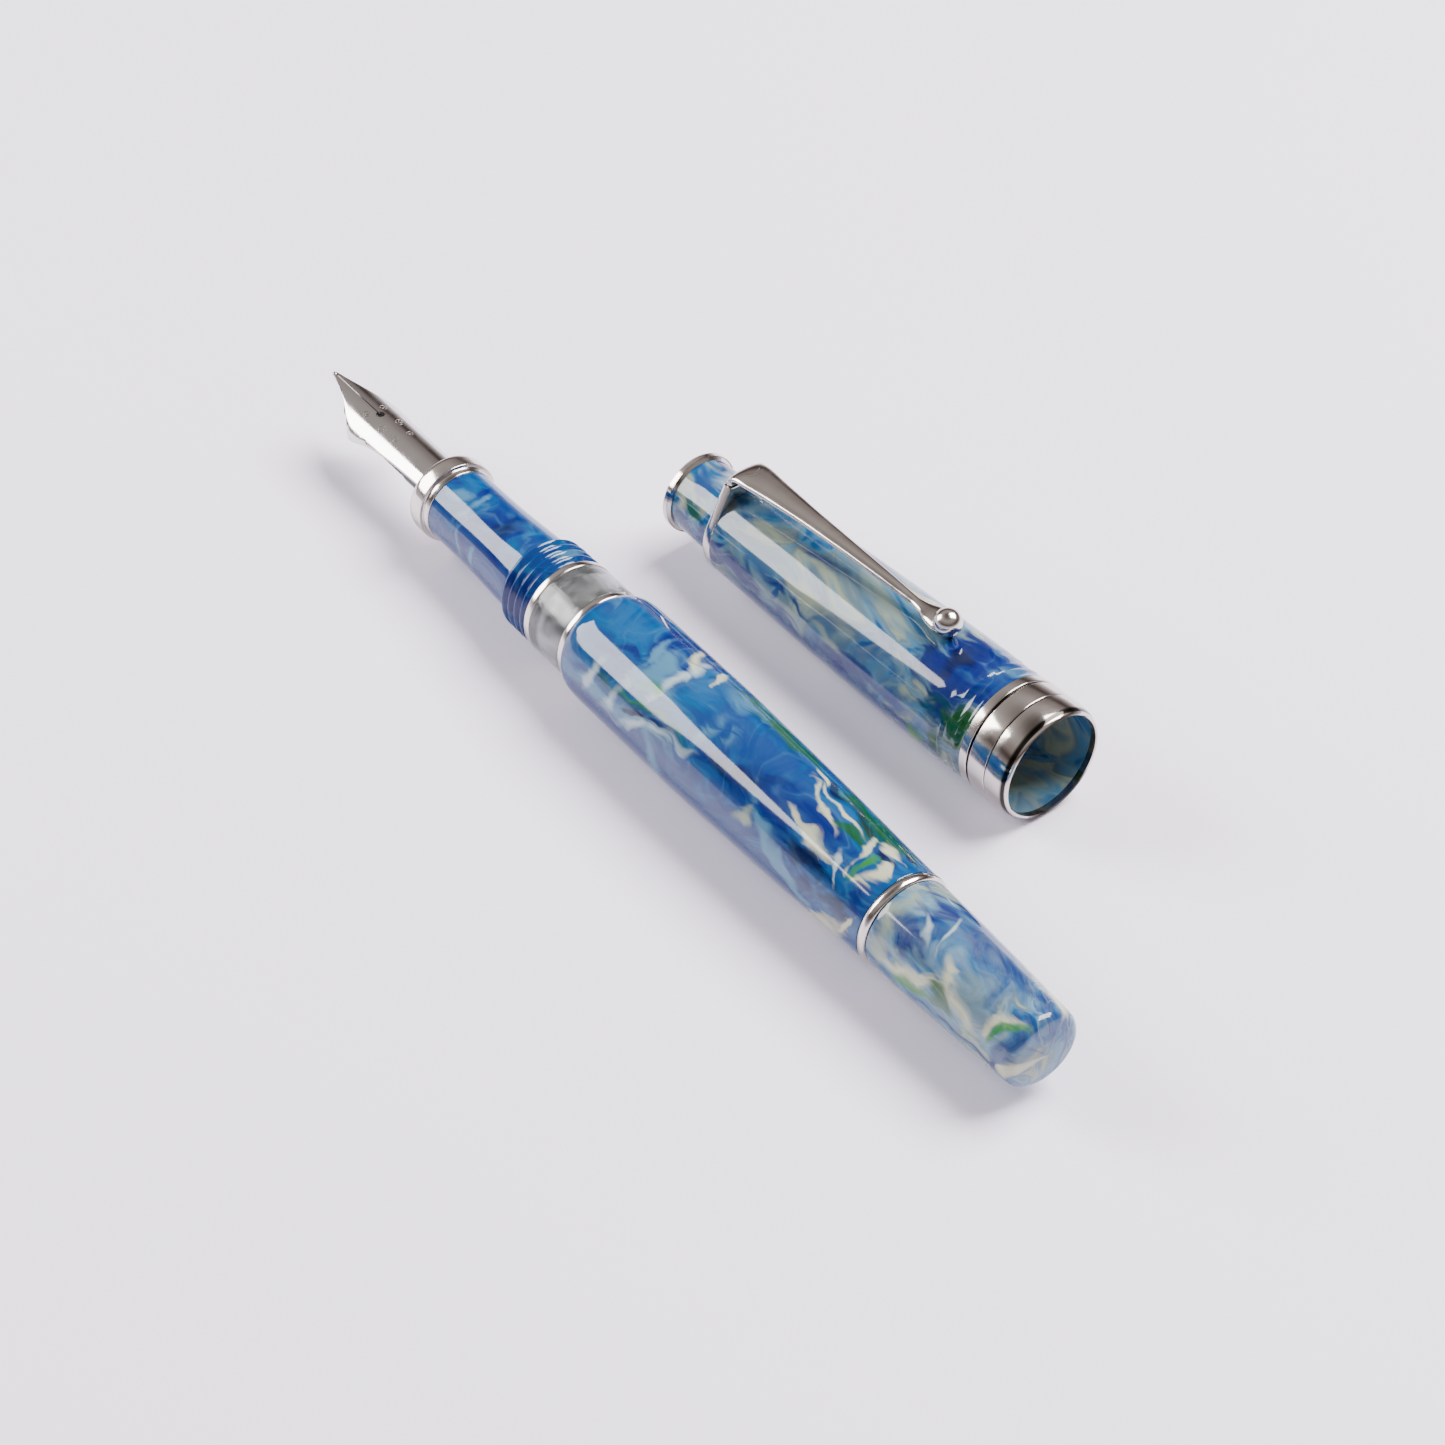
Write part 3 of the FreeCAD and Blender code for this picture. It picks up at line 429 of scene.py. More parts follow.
capLook = {
    "shift": (2.2, 7.7, 5.1), "scale": 0.13, "bend": 2.2, "radius": 6.8, "cover": 0.96,
    "ramp": [(0.0, "dusk"), (0.22, "sky"), (0.42, "pale"), (0.6, "mist"), (0.8, "bone"),
             (1.0, "pale")],
    "blobColour": "dusk", "Blob": 0.45, "patchColour": "pale", "Patch": 0.3,
    "threadColour": "bone", "Thread": 0.3, "smoke": 0.08, "smokeColour": "mist", "wisp": 0.12,
    "streaks": [
        # the long dusk streak at 112 degrees, the whole cap's length, is painted shade along its lower
        # side
        ("dusk", -33, 112, 22, 2.0, 0, 0.5), ("cobalt", -27, 88, 7.0, 1.5, 0, 0.5),
        ("cobalt", -48, 88, 5.0, 1.4, 4, 0.5), ("cobalt", -41, 66, 2.6, 1.1, 12, 0.5),
        ("azure", -18.5, 88, 2.8, 1.2, 0, 0.8),
        ("azure", -40.3, 78, 0.7, 1.5, 8, 0.4), ("cobalt", -51, 70, 1.0, 0.35, -30, 0.6),
        ("dusk", -46.5, 74, 0.6, 0.9, -20, 0.8), ("bone", -45, 22, 3.2, 0.6, 0, 0.8),
        ("bone", -35, 54, 3.6, 0.7, 0, 0.8), ("dusk", -35.4, 68, 2.0, 0.35, 15, 0.8),
        ("bone", -30, 76, 2.4, 0.5, 8, 0.8), ("dusk", -36, 13, 5.0, 0.5, 3, 0.9),
        ("dusk", -35, -27, 4.2, 0.9, 5, 0.8), ("cream", -24.5, -25, 3.4, 1.2, 10, 0.8),
        ("azure", -11.0, 14, 5.0, 6.5, 0, 0.5), ("pale", -9.4, -4, 0.8, 2.0, 20, 0.8),
        ("cobalt", -13.0, 12, 4.2, 4.6, 12, 0.35), ("navy", -13.8, 15, 1.4, 2.2, 14, 0.6),
        ("cobalt", -16.8, 30, 2.4, 1.1, -12, 0.4), ("cobalt", -9.0, 30, 1.9, 1.2, -15, 0.6),
        ("teal", -12.4, 60, 2.6, 1.6, 0, 0.5), ("cobalt", -11.6, 62, 1.6, 0.9, 0, 0.7),
        ("green", -9.0, 62, 2.4, 3.0, 0, 0.4), ("green", -11.8, 92, 1.2, 1.6, 20, 0.8),
        ("leaf", -15.5, 112, 1.8, 0.9, -50, 0.6), ("bone", -10.5, 116, 2.0, 1.8, -30, 0.8),
        ("cobalt", -20, -100, 5, 1.6, 10, 0.6), ("cream", -38, 170, 6, 1.4, -8, 0.7),
        ("leaf", -30, -130, 4, 0.9, 12, 0.7), ("cobalt", -46, -80, 4, 1.2, -10, 0.6)],
}
neckLook = {
    "shift": (6.2, 3.3, 1.5), "scale": 0.22, "bend": 2.0, "radius": 4.9, "cover": 0.9,
    "ramp": [(0.0, "azure"), (0.35, "sky"), (0.6, "pale"), (0.8, "bone"), (1.0, "sky")],
    "blobColour": "cobalt", "Blob": 0.5, "patchColour": "mist", "Patch": 0.5,
    "threadColour": "milk", "Thread": 0.3, "smoke": 0.15, "smokeColour": "pale", "wisp": 0.2,
    "streaks": [
        ("cobalt", -59.5, -16, 1.8, 1.2, 30, 0.6), ("milk", -56.8, -8, 1.6, 1.2, 0, 0.8),
        ("azure", -58.8, 18, 2.2, 1.0, 10, 0.6), ("bone", -60.5, 50, 1.4, 1.6, 0, 0.7),
        ("green", -57.2, 58, 1.4, 0.8, 0, 0.6), ("cobalt", -55.4, 84, 1.0, 1.8, 20, 0.6),
        ("cream", -59.6, 72, 0.8, 0.9, 0, 0.8), ("dusk", -59.5, 98, 2.0, 1.0, 0, 0.6)],
}
trim = ((0.68, 0.625, 0.585), (0.60, 0.55, 0.515))
# painted shade in the cap band's grooves: near-black colour between these radii
bandGrooveShade = {"top": (7.08, 7.17), "bottom": (6.9, 6.96), "colour": (0.035, 0.03, 0.026)}
nibSteel = metalMaterial("nibSteel", (0.70, 0.67, 0.65), (0.61, 0.585, 0.565), 0.07, 0.10)
innerPlastic = plainMaterial("innerPlastic", (0.03, 0.035, 0.04), (0.05, 0.055, 0.06), 0.3, 0.2, 1.48)
innerBrass = metalMaterial("innerBrass", (0.72, 0.50, 0.22), (0.62, 0.42, 0.18), 0.2, 0.25)
sealRubber = plainMaterial("sealRubber", (0.02, 0.02, 0.021), (0.035, 0.034, 0.034), 0.5, 0.3, 1.52)
slotMaterials = {
    "resin_section": resinMaterial("sectionResin", sectionLook),
    "resin_barrel": resinMaterial("barrelResin", barrelLook),
    "resin_knob": resinMaterial("knobResin", knobLook),
    "resin_cap": resinMaterial("capResin", capLook),
    "resin_finial_neck": resinMaterial("neckResin", neckLook),
    "polished_trim": metalMaterial("polishedTrim", *trim, 0.09, 0.12),
    "clear_acrylic": windowMaterial(),
    "nib_steel": nibSteel,
    "inner_plastic": innerPlastic,
    "feed_black": plainMaterial("feedPlastic", (0.012, 0.012, 0.013), (0.022, 0.022, 0.023),
                                0.32, 0.2, 1.5),
    "inner_brass": innerBrass,
    "seal_rubber": sealRubber,
}
grooveShadedTrim = metalMaterial("grooveShadedTrim", *trim, 0.10, 0.12, bandGrooveShade)
sleevePlastic = plainMaterial("sleevePlastic", (0.40, 0.41, 0.42), (0.52, 0.53, 0.54), 0.3, 0.2, 1.5)
engravedSteel = metalMaterial("engravedSteel", (0.30, 0.27, 0.25), (0.42, 0.39, 0.36), 0.25, 0.2)
print("materials made")


# Building tools

def finishPiece(name, builder, spot, slotName, body, replaced=None, material=None):
    bmesh.ops.recalc_face_normals(builder, faces=builder.faces)
    mesh = bpy.data.meshes.new(name)
    builder.to_mesh(mesh)
    builder.free()
    for polygon in mesh.polygons:
        polygon.use_smooth = True
    mesh.set_sharp_from_angle(angle=sharpAngle)
    piece = bpy.data.objects.new(name, mesh)
    bpy.context.scene.collection.objects.link(piece)
    piece.matrix_world = spot
    mesh.materials.append(material or slotMaterials[slotName])
    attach(piece, body)
    if replaced:
        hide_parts(replaced)


def rounded(corners, steps=5):
    # closed outline whose third entries are corner roundings
    line = []
    for index, corner in enumerate(corners):
        here = Vector(corner[:2])
        if len(corner) < 3:
            line.append(here)
            continue
        before = Vector(corners[index - 1][:2]) - here
        after = Vector(corners[(index + 1) % len(corners)][:2]) - here
        size = min(corner[2], before.length * 0.49, after.length * 0.49)
        start = here + before.normalized() * size
        end = here + after.normalized() * size
        for step in range(steps + 1):
            t = step / steps
            line.append(start * (1 - t) ** 2 + here * 2 * t * (1 - t) + end * t ** 2)
    return [tuple(point) for point in line]


def flowing(points, steps=8):
    # a smooth open line through the points, no higher than the highest of them
    line = []
    highest = max(point[1] for point in points)
    padded = [points[0]] + list(points) + [points[-1]]
    for index in range(1, len(padded) - 2):
        p0, p1, p2, p3 = [Vector(padded[index + k]) for k in (-1, 0, 1, 2)]
        for step in range(steps):
            t = step / steps
            point = 0.5 * (2 * p1 + (p2 - p0) * t + (2 * p0 - 5 * p1 + 4 * p2 - p3) * t ** 2
                           + (3 * p1 - p0 - 3 * p2 + p3) * t ** 3)
            point[1] = min(point[1], highest)
            line.append(tuple(point))
    line.append(tuple(points[-1]))
    return line


def between(table, x):
    # straight-line reading of a table of (station, value)
    for (x0, v0), (x1, v1) in zip(table, table[1:]):
        if x <= x1:
            return v0 + (v1 - v0) * max(0.0, (x - x0) / (x1 - x0))
    return table[-1][1]


def turnedShape(outline, around=fineTurn, wave=None):
    # spins a closed outline of (station, radius) about X
    builder = bmesh.new()
    rows = []
    for station, radius in outline:
        if radius < 1e-6:
            rows.append([builder.verts.new((station * mm, 0, 0))])
            continue
        row = []
        for turn in range(around):
            angle = 2 * math.pi * turn / around
            far = wave(station, radius, angle) if wave else radius
            row.append(builder.verts.new((station * mm, -math.sin(angle) * far * mm,
                                          math.cos(angle) * far * mm)))
        rows.append(row)
    for index, row in enumerate(rows):
        other = rows[(index + 1) % len(rows)]
        if len(row) == 1 and len(other) == 1:
            continue
        for turn in range(around):
            after = (turn + 1) % around
            corners = [row[turn % len(row)], row[after % len(row)],
                       other[after % len(other)], other[turn % len(other)]]
            builder.faces.new(list(dict.fromkeys(corners)))
    return builder


def skin(builder, rings, closed=False):
    # faces from ring to ring; a closed skin comes back to its first ring, an open one gets ends
    for ringA, ringB in zip(rings, rings[1:] + rings[:closed]):
        count = len(ringA)
        for k in range(count):
            after = (k + 1) % count
            builder.faces.new((ringA[k], ringA[after], ringB[after], ringB[k]))
    if not closed:
        builder.faces.new(rings[0])
        builder.faces.new(list(reversed(rings[-1])))


def wireShape(paths, radius, sides=6):
    # thin round lines through lists of points
    builder = bmesh.new()
    for path in paths:
        points = [Vector(point) for point in path]
        rings = []
        for index, point in enumerate(points):
            ahead = points[min(index + 1, len(points) - 1)] - points[max(index - 1, 0)]
            ahead.normalize()
            side = ahead.cross(Vector((0, 0, 1))).normalized()
            up = side.cross(ahead)
            ring = []
            for k in range(sides):
                angle = 2 * math.pi * k / sides
                off = side * math.cos(angle) + up * math.sin(angle)
                ring.append(builder.verts.new((point + off * radius) * mm))
            rings.append(ring)
        skin(builder, rings)
    return builder


def ballShape(centre, radius, stretch=(1, 1, 1), segments=48):
    builder = bmesh.new()
    bmesh.ops.create_uvsphere(builder, u_segments=segments, v_segments=segments // 2,
                              radius=radius * mm)
    for vertex in builder.verts:
        vertex.co = Vector(stretch) * vertex.co + Vector(centre) * mm
    return builder


def threadWave(first, last, sizes, inward=False):
    # a helical ridge between two stations that fades in and out at its ends
    pitch = sizes["pitch"]
    height = sizes["threadHeight"] * (-1 if inward else 1)

    def wave(station, radius, angle):
        if not first < station < last or radius < sizes["threadRoot"] - 0.2:
            return radius
        phase = ((station - first) / pitch - angle / (2 * math.pi)) % 1.0
        ridge = (0.5 - 0.5 * math.cos(2 * math.pi * phase)) ** 0.8
        fade = min(1.0, (station - first) / (0.5 * pitch), (last - station) / (0.5 * pitch))
        return radius + height * ridge * fade
    return wave


def evenly(start, end, radius, gap=0.09):
    count = max(2, int(abs(end - start) / gap))
    return [(start + (end - start) * k / count, radius) for k in range(count + 1)]


# Section, trim rings and ink window

sectionSizes = {"spigot": 4.1, "gripFront": 4.72, "gripRear": 5.2, "collar": 5.03,
                "threadRoot": 5.62, "threadHeight": 0.46, "pitch": 1.25, "threadLength": 5.5}
section = measured("section", penSpot)
sectionTrim = measured("section_ring", penSpot)
frontTrim = measured("window_ring_front", penSpot)
rearTrim = measured("window_ring_rear", penSpot)
window = measured("ink_window", penSpot)
spigot = sectionSizes["spigot"]
collar = sectionSizes["collar"]
gripFront = sectionTrim.high
gripRadius = sectionSizes["gripFront"]
gripRear = sectionSizes["gripRear"]
threadEnd = frontTrim.low
threadStart = threadEnd - sectionSizes["threadLength"]
gasketFront = window.low - 0.5
outline = [(section.low, section.inner), (section.low, spigot), (gripFront, spigot)]
outline += flowing([(gripFront, gripRadius), (gripFront + 7, gripRadius + 0.06),
                    (threadStart - 3, gripRear - 0.08), (threadStart - 0.5, gripRear)])
outline += [(threadStart - 0.15, gripRear)]
outline += evenly(threadStart, threadEnd, sectionSizes["threadRoot"])
outline += [(threadEnd, collar), (gasketFront, collar), (gasketFront, section.inner)]
shape = turnedShape(outline, wave=threadWave(threadStart, threadEnd, sectionSizes))
finishPiece("gripSection", shape, penSpot, "resin_section", "pen", "section")

ringFront = sectionTrim.low
ringRadius = sectionTrim.outer
outline = rounded([
    (ringFront, sectionTrim.inner, 0.1), (ringFront, ringRadius - 0.75, 0.2),
    (ringFront + 0.3, ringRadius - 0.14, 0.35), (ringFront + 0.85, ringRadius, 0.3),
    (gripFront - 0.95, ringRadius - 0.04, 0.1), (gripFront - 0.9, gripRadius + 0.24, 0.06),
    (gripFront - 0.45, gripRadius + 0.20, 0.06), (gripFront, gripRadius + 0.12, 0.1),
    (gripFront, spigot + 0.03), (ringFront + 0.35, spigot + 0.03),
    (ringFront + 0.35, sectionTrim.inner)])
finishPiece("sectionRing", turnedShape(outline), penSpot, "polished_trim", "pen", "section_ring")

for node, name, ring in (("window_ring_front", "windowRingFront", frontTrim),
                         ("window_ring_rear", "windowRingRear", rearTrim)):
    outline = rounded([(ring.low, ring.inner), (ring.low, ring.outer, 0.22),
                       (ring.high, ring.outer, 0.22), (ring.high, ring.inner)])
    finishPiece(name, turnedShape(outline), penSpot, "polished_trim", "pen", node)

windowSizes = {"frontTenon": 5.0, "rearTenon": 5.6, "bore": 4.9}
frontTenon = windowSizes["frontTenon"]
rearTenon = windowSizes["rearTenon"]
bore = windowSizes["bore"]
clearFront = frontTrim.high
clearRear = rearTrim.low
outline = rounded([
    (window.low, frontTenon), (clearFront, frontTenon), (clearFront, window.outer, 0.06),
    (clearRear, window.outer, 0.06), (clearRear, rearTenon), (window.high, rearTenon),
    (window.high, bore), (clearFront + 0.9, bore, 0.4), (clearFront - 0.1, window.inner, 0.3),
    (window.low, window.inner)])
finishPiece("inkWindow", turnedShape(outline), penSpot, "clear_acrylic", "pen", "ink_window")

# Barrel, rear ring and filling knob

barrelSizes = {"shoulder": 3.0, "frontRadius": 6.16, "rearRadius": 5.8, "seat": 5.63}
barrel = measured("barrel", penSpot)
front = barrel.low
rear = barrel.high
outer = barrel.outer
rearRadius = barrelSizes["rearRadius"]
seat = barrelSizes["seat"]
gasketRear = window.high + 0.5
outline = flowing([
    (front, barrelSizes["frontRadius"]), (front + 0.5, outer - 0.38), (front + 1.4, outer - 0.12),
    (front + barrelSizes["shoulder"], outer - 0.005), (front + 8, outer), (front + 20, outer),
    (front + 30.4, outer - 0.25), (front + 40.7, outer - 0.55), (rear - 3.8, rearRadius + 0.16),
    (rear - 0.3, rearRadius + 0.02), (rear, rearRadius - 0.12)], steps=10)
outline += [(rear, barrel.inner), (gasketRear, barrel.inner), (gasketRear, seat), (front, seat)]
finishPiece("barrelTube", turnedShape(outline), penSpot, "resin_barrel", "pen", "barrel")

ring = measured("rear_ring", penSpot)
outline = [(ring.low, ring.inner)]
for k in range(15):
    turn = math.pi * k / 14
    outline.append((ring.low + (ring.high - ring.low) * (0.5 - 0.5 * math.cos(turn)),
                    ring.outer - 0.42 + 0.42 * math.sin(turn)))
outline.append((ring.high, ring.inner))
finishPiece("rearRing", turnedShape(outline), penSpot, "polished_trim", "pen", "rear_ring")

knobSizes = {"endRadius": 4.75, "edge": 1.2, "dome": 0.3, "bush": 4.43, "bore": 3.4}
knob = measured("knob", penSpot)
front = knob.low
rear = knob.high
outer = knob.outer
flangeRear = measured("spindle", penSpot).high
bushRear = measured("knob_bush", penSpot).high
edge = knobSizes["edge"]
dome = knobSizes["dome"]
endRadius = knobSizes["endRadius"]
outline = [(front, knobSizes["bush"]), (front, outer - 0.2), (front + 0.06, outer - 0.06)]
outline += flowing([(front + 0.35, outer), (front + 5, outer - 0.12), (front + 10.3, outer - 0.34),
                    (front + 16, outer - 0.58), (rear - edge - dome, endRadius)])
for k in range(1, 11):
    turn = math.pi / 2 * k / 10
    outline.append((rear - dome - edge * (1 - math.sin(turn)), endRadius - edge * (1 - math.cos(turn))))
domeStart = outline[-1][1]
outline += [(rear - dome * (k / 8) ** 2, domeStart * k / 8) for k in range(7, -1, -1)]
outline += [(flangeRear, 0.0), (flangeRear, knobSizes["bore"]), (bushRear, knobSizes["bore"]),
            (bushRear, knobSizes["bush"])]
finishPiece("fillingKnob", turnedShape(outline), penSpot, "resin_knob", "filling_knob", "knob")
print("pen body made")

# Nib and feed

nibSizes = {"bend": 4.5, "drop": 1.75, "thick": 0.35, "slit": 0.06, "vent": 0.55,
            "ventBack": 11.2, "tipping": 0.42, "blade": 27.0, "tang": 1.0}
nibFront = measured("nib_tipping", penSpot).low
nibRear = measured("nib", penSpot).high
vent = nibSizes["vent"]
ventAt = nibFront + nibSizes["ventBack"]
halfWidths = flowing([(0.35, 0.28), (2.2, 0.72), (4.4, 1.4), (6.4, 2.2), (8.2, 3.15), (9.35, 3.78),
                      (10.2, 3.86), (11.4, 3.74), (13.6, 3.42), (17.5, 3.12), (23.0, 2.95),
                      (nibSizes["blade"], 2.9)], steps=6)


def halfWidth(station):
    away = station - nibFront
    return nibSizes["tang"] if away >= halfWidths[-1][0] else between(halfWidths, away)


def nibHeight(station, side, depth=0.0):
    # height of the nib's top skin above the pen's axis, less a depth
    away = station - nibFront
    radius = nibSizes["bend"] - 0.15 * max(0.0, 1 - away / nibSizes["blade"]) - depth
    return math.sqrt(max(radius ** 2 - side ** 2, 0.01)) - nibSizes["drop"]


def innerEdge(station):
    # the slit, and the round vent at its end
    if station <= ventAt - vent:
        return nibSizes["slit"]
    away = abs(station - ventAt)
    if away < vent:
        return max(math.sqrt(vent ** 2 - away ** 2), nibSizes["slit"] if station < ventAt else 0.0)
    return 0.0


def nibShape():
    builder = bmesh.new()
    across = 12
    behind = ventAt + vent
    bladeEnd = nibFront + nibSizes["blade"] + 0.3
    stations = [nibFront + 0.35 + 0.35 * k for k in range(30)]
    stations = [station for station in stations if station < ventAt - vent - 0.1]
    stations += [ventAt - vent * math.cos(math.pi * k / 24) for k in range(25)]
    stations += [behind + (bladeEnd - behind) * k / 28 for k in range(1, 29)]
    stations += [bladeEnd + 0.01, nibRear]
    for side in (1, -1):
        rows = []
        for station in stations:
            start = innerEdge(station)
            end = halfWidth(station)
            top = []
            low = []
            for k in range(across + 1):
                y = start + (end - start) * k / across
                inset = 0.05 if k == across else 0.0
                for skinRow, depth in ((top, inset), (low, nibSizes["thick"] - inset)):
                    skinRow.append(builder.verts.new((station * mm, side * y * mm,
                                                      nibHeight(station, y, depth) * mm)))
            rows.append((top, low))
        for (topA, lowA), (topB, lowB) in zip(rows, rows[1:]):
            for k in range(across):
                builder.faces.new((topA[k], topA[k + 1], topB[k + 1], topB[k]))
                builder.faces.new((lowA[k], lowA[k + 1], lowB[k + 1], lowB[k]))
            builder.faces.new((topA[-1], lowA[-1], lowB[-1], topB[-1]))
            if abs(topA[0].co.y) > 1e-9 or abs(topB[0].co.y) > 1e-9:
                builder.faces.new((topA[0], lowA[0], lowB[0], topB[0]))
        for top, low in (rows[0], rows[-1]):
            for k in range(across):
                builder.faces.new((top[k], top[k + 1], low[k + 1], low[k]))
    bmesh.ops.remove_doubles(builder, verts=builder.verts, dist=1e-8)
    return builder


finishPiece("nibBlade", nibShape(), penSpot, "nib_steel", "pen", "nib")
tipCentre = (nibFront + nibSizes["tipping"], 0, nibSizes["bend"] - nibSizes["drop"] - 0.4)
finishPiece("tippingBead", ballShape(tipCentre, nibSizes["tipping"], (1, 0.8, 0.75), 24), penSpot,
            "nib_steel", "pen", "nib_tipping")

curlSizes = {"line": 0.045, "turns": 1.35}
paths = []
for back, out, size, hand in ((-1.3, 1.15, 0.55, 1), (2.4, 1.3, 0.62, -1), (5.2, 0.95, 0.48, 1)):
    for side in (1, -1):
        path = []
        for k in range(25):
            angle = hand * side * 2 * math.pi * curlSizes["turns"] * k / 24
            reach = size * (1 - 0.75 * k / 24)
            x = ventAt + back + reach * math.cos(angle)
            y = side * out + reach * math.sin(angle)
            path.append((x, y, nibHeight(x, y)))
        paths.append(path)
finishPiece("nibScrolls", wireShape(paths, curlSizes["line"]), penSpot, "nib_steel", "pen",
            material=engravedSteel)

feedSizes = {"fins": 16, "finPitch": 0.62, "finDepth": 0.4, "finStart": 5.0}
feed = measured("feed", penSpot)
front = feed.low
finStart = front + feedSizes["finStart"]
finEnd = finStart + feedSizes["fins"] * feedSizes["finPitch"]


def feedWave(station, radius, angle):
    # comb cut into the underside
    under = max(0.0, -math.cos(angle))
    if finStart < station < finEnd and radius > 1.2:
        phase = ((station - finStart) / feedSizes["finPitch"]) % 1.0
        if 0.3 < phase < 0.7:
            return radius - feedSizes["finDepth"] * min(1.0, under * 2.5)
    return radius


outline = [(front, 0.0), (front + 0.02, 0.7), (front + 0.25, 1.2), (front + 0.9, 1.6),
           (front + 3, 2.02)]
outline += evenly(front + 4.2, finEnd + 0.3, feed.outer - 0.1, 0.1)
outline += [(finEnd + 1.0, feed.outer), (feed.high, feed.outer), (feed.high, 0.0)]
finishPiece("inkFeed", turnedShape(outline, coarseTurn, feedWave), penSpot, "feed_black", "pen",
            "feed")
print("nib made")

# Cap

capSizes = {"bandSeat": 6.9, "shellEnd": -0.92, "seat": 6.87, "deep": 5.75, "innerSeat": 5.23,
            "threadRear": -12.6, "threadFront": -7.2, "threadRoot": 6.33, "threadHeight": 0.2,
            "pitch": 1.25}
band = measured("cap_band", capSpot)
shell = measured("cap_shell", capSpot)
innerFront = measured("inner_cap", capSpot).high
capRear = shell.low
capRadius = shell.outer
threadRear = capSizes["threadRear"]
threadFront = capSizes["threadFront"]
outline = [(capSizes["shellEnd"], band.inner), (capSizes["shellEnd"], capSizes["seat"]),
           (band.low, capSizes["seat"])]
outline += flowing([
    (band.low, capRadius), (capRear * 0.22, capRadius), (capRear * 0.36, capRadius - 0.06),
    (capRear * 0.49, capRadius - 0.19), (capRear * 0.62, capRadius - 0.35),
    (capRear * 0.72, capRadius - 0.52), (capRear * 0.86, capRadius - 0.86),
    (capRear + 0.3, capRadius - 1.17), (capRear, capRadius - 1.24)], steps=10)
outline += [(capRear, capSizes["innerSeat"]), (innerFront, capSizes["innerSeat"]),
            (innerFront, capSizes["deep"]), (threadRear - 0.3, capSizes["deep"])]
outline += evenly(threadRear, threadFront, capSizes["threadRoot"])
outline += [(threadFront + 0.3, band.inner)]
shape = turnedShape(outline, wave=threadWave(threadRear, threadFront, capSizes, inward=True))
finishPiece("capTube", shape, capSpot, "resin_cap", "cap", "cap_shell")

bandSizes = {"groove": 0.3, "first": 0.41, "second": 0.80}      # grooves as parts of its length
groove = bandSizes["groove"]
lip = band.outer
bottom = lip - 0.3
lipEnd = band.low * bandSizes["first"]
middleEnd = band.low * bandSizes["second"]
lipStart = Vector((0, band.inner + 0.14))
lipBend = Vector((-0.35, lip - 0.06))
lipStop = Vector((-2.5, lip))
outline = [(-0.9, band.inner), (-0.12, band.inner)]
for k in range(13):
    t = k / 12
    outline.append(tuple(lipStart * (1 - t) ** 2 + lipBend * 2 * t * (1 - t) + lipStop * t ** 2))
outline += rounded([
    (lipEnd, lip - 0.02, 0.12), (lipEnd - 0.05, bottom, 0.05), (lipEnd - groove, bottom, 0.05),
    (lipEnd - groove - 0.05, lip - 0.06, 0.12), (middleEnd, lip - 0.08, 0.12),
    (middleEnd - 0.05, bottom, 0.05), (middleEnd - groove, bottom, 0.05),
    (middleEnd - groove - 0.05, lip - 0.08, 0.15), (band.low, lip - 0.12, 0.15)])
outline += [(band.low, capSizes["bandSeat"]), (-0.9, capSizes["bandSeat"])]
finishPiece("capBand", turnedShape(outline), capSpot, "polished_trim", "cap", "cap_band", grooveShadedTrim)

# clip ring, with the two flat flanks that rise from it to the clip's root
clipRingSizes = {"radius": 5.98, "top": 7.6, "topHalf": 2.75, "edge": 0.18}
clipRing = measured("clip_ring", capSpot)


def clipRingShape():
    # outside: round below, then straight up both tangents to a flat top; inside: round
    radius = clipRingSizes["radius"]
    top = clipRingSizes["top"]
    half = clipRingSizes["topHalf"]
    edge = clipRingSizes["edge"]
    touch = math.atan2(half, top) + math.acos(radius / math.hypot(top, half))
    flat = [(-half + 2 * half * k / 10, top) for k in range(11)]
    start = Vector((radius * math.sin(touch), radius * math.cos(touch)))
    right = [tuple(Vector((half, top)).lerp(start, k / 12)) for k in range(1, 12)]
    angles = [touch + 2 * (math.pi - touch) * k / 90 for k in range(91)]
    below = [(radius * math.sin(angle), radius * math.cos(angle)) for angle in angles]
    left = [(-y, z) for y, z in reversed(right)]
    outer = flat + right + below + left
    builder = bmesh.new()
    rows = []
    for station, inset, inside in (
            (clipRing.low, 0, True), (clipRing.low, edge, False),
            (clipRing.low + 0.05, edge * 0.3, False), (clipRing.low + edge, 0, False),
            (clipRing.high - edge, 0, False), (clipRing.high - 0.05, edge * 0.3, False),
            (clipRing.high, edge, False), (clipRing.high, 0, True)):
        row = []
        for y, z in outer:
            far = math.hypot(y, z)
            size = clipRing.inner / far if inside else (far - inset) / far
            row.append(builder.verts.new((station * mm, y * size * mm, z * size * mm)))
        rows.append(row)
    skin(builder, rows, closed=True)
    return builder


finishPiece("clipRing", clipRingShape(), capSpot, "polished_trim", "cap", "clip_ring")

neck = measured("finial_neck", capSpot)
outline = flowing([(neck.high, neck.outer), (neck.high - 1.2, neck.outer - 0.08),
                   (neck.high - 3.5, neck.outer - 0.24), (neck.high - 5.5, neck.outer - 0.34),
                   (neck.low, neck.outer - 0.36)])
outline += [(neck.low, neck.inner), (neck.high, neck.inner)]
finishPiece("finialNeck", turnedShape(outline), capSpot, "resin_finial_neck", "cap", "finial_neck")

disc = measured("finial_disc", capSpot)
front = disc.low
outer = disc.outer
outline = [(front, 0.0), (front, outer - 1.5), (front + 0.12, outer - 0.9),
           (front + 0.12, outer - 0.7), (front, outer - 0.55)]
outline += rounded([(front, outer, 0.35), (neck.low - 0.08, outer, 0.3)])
outline += [(neck.low - 0.02, outer - 0.4), (neck.low, 3.7), (disc.high, 3.7), (disc.high, 0.0)]
finishPiece("finialDisc", turnedShape(outline), capSpot, "polished_trim", "cap", "finial_disc")
print("cap made")

# Clip

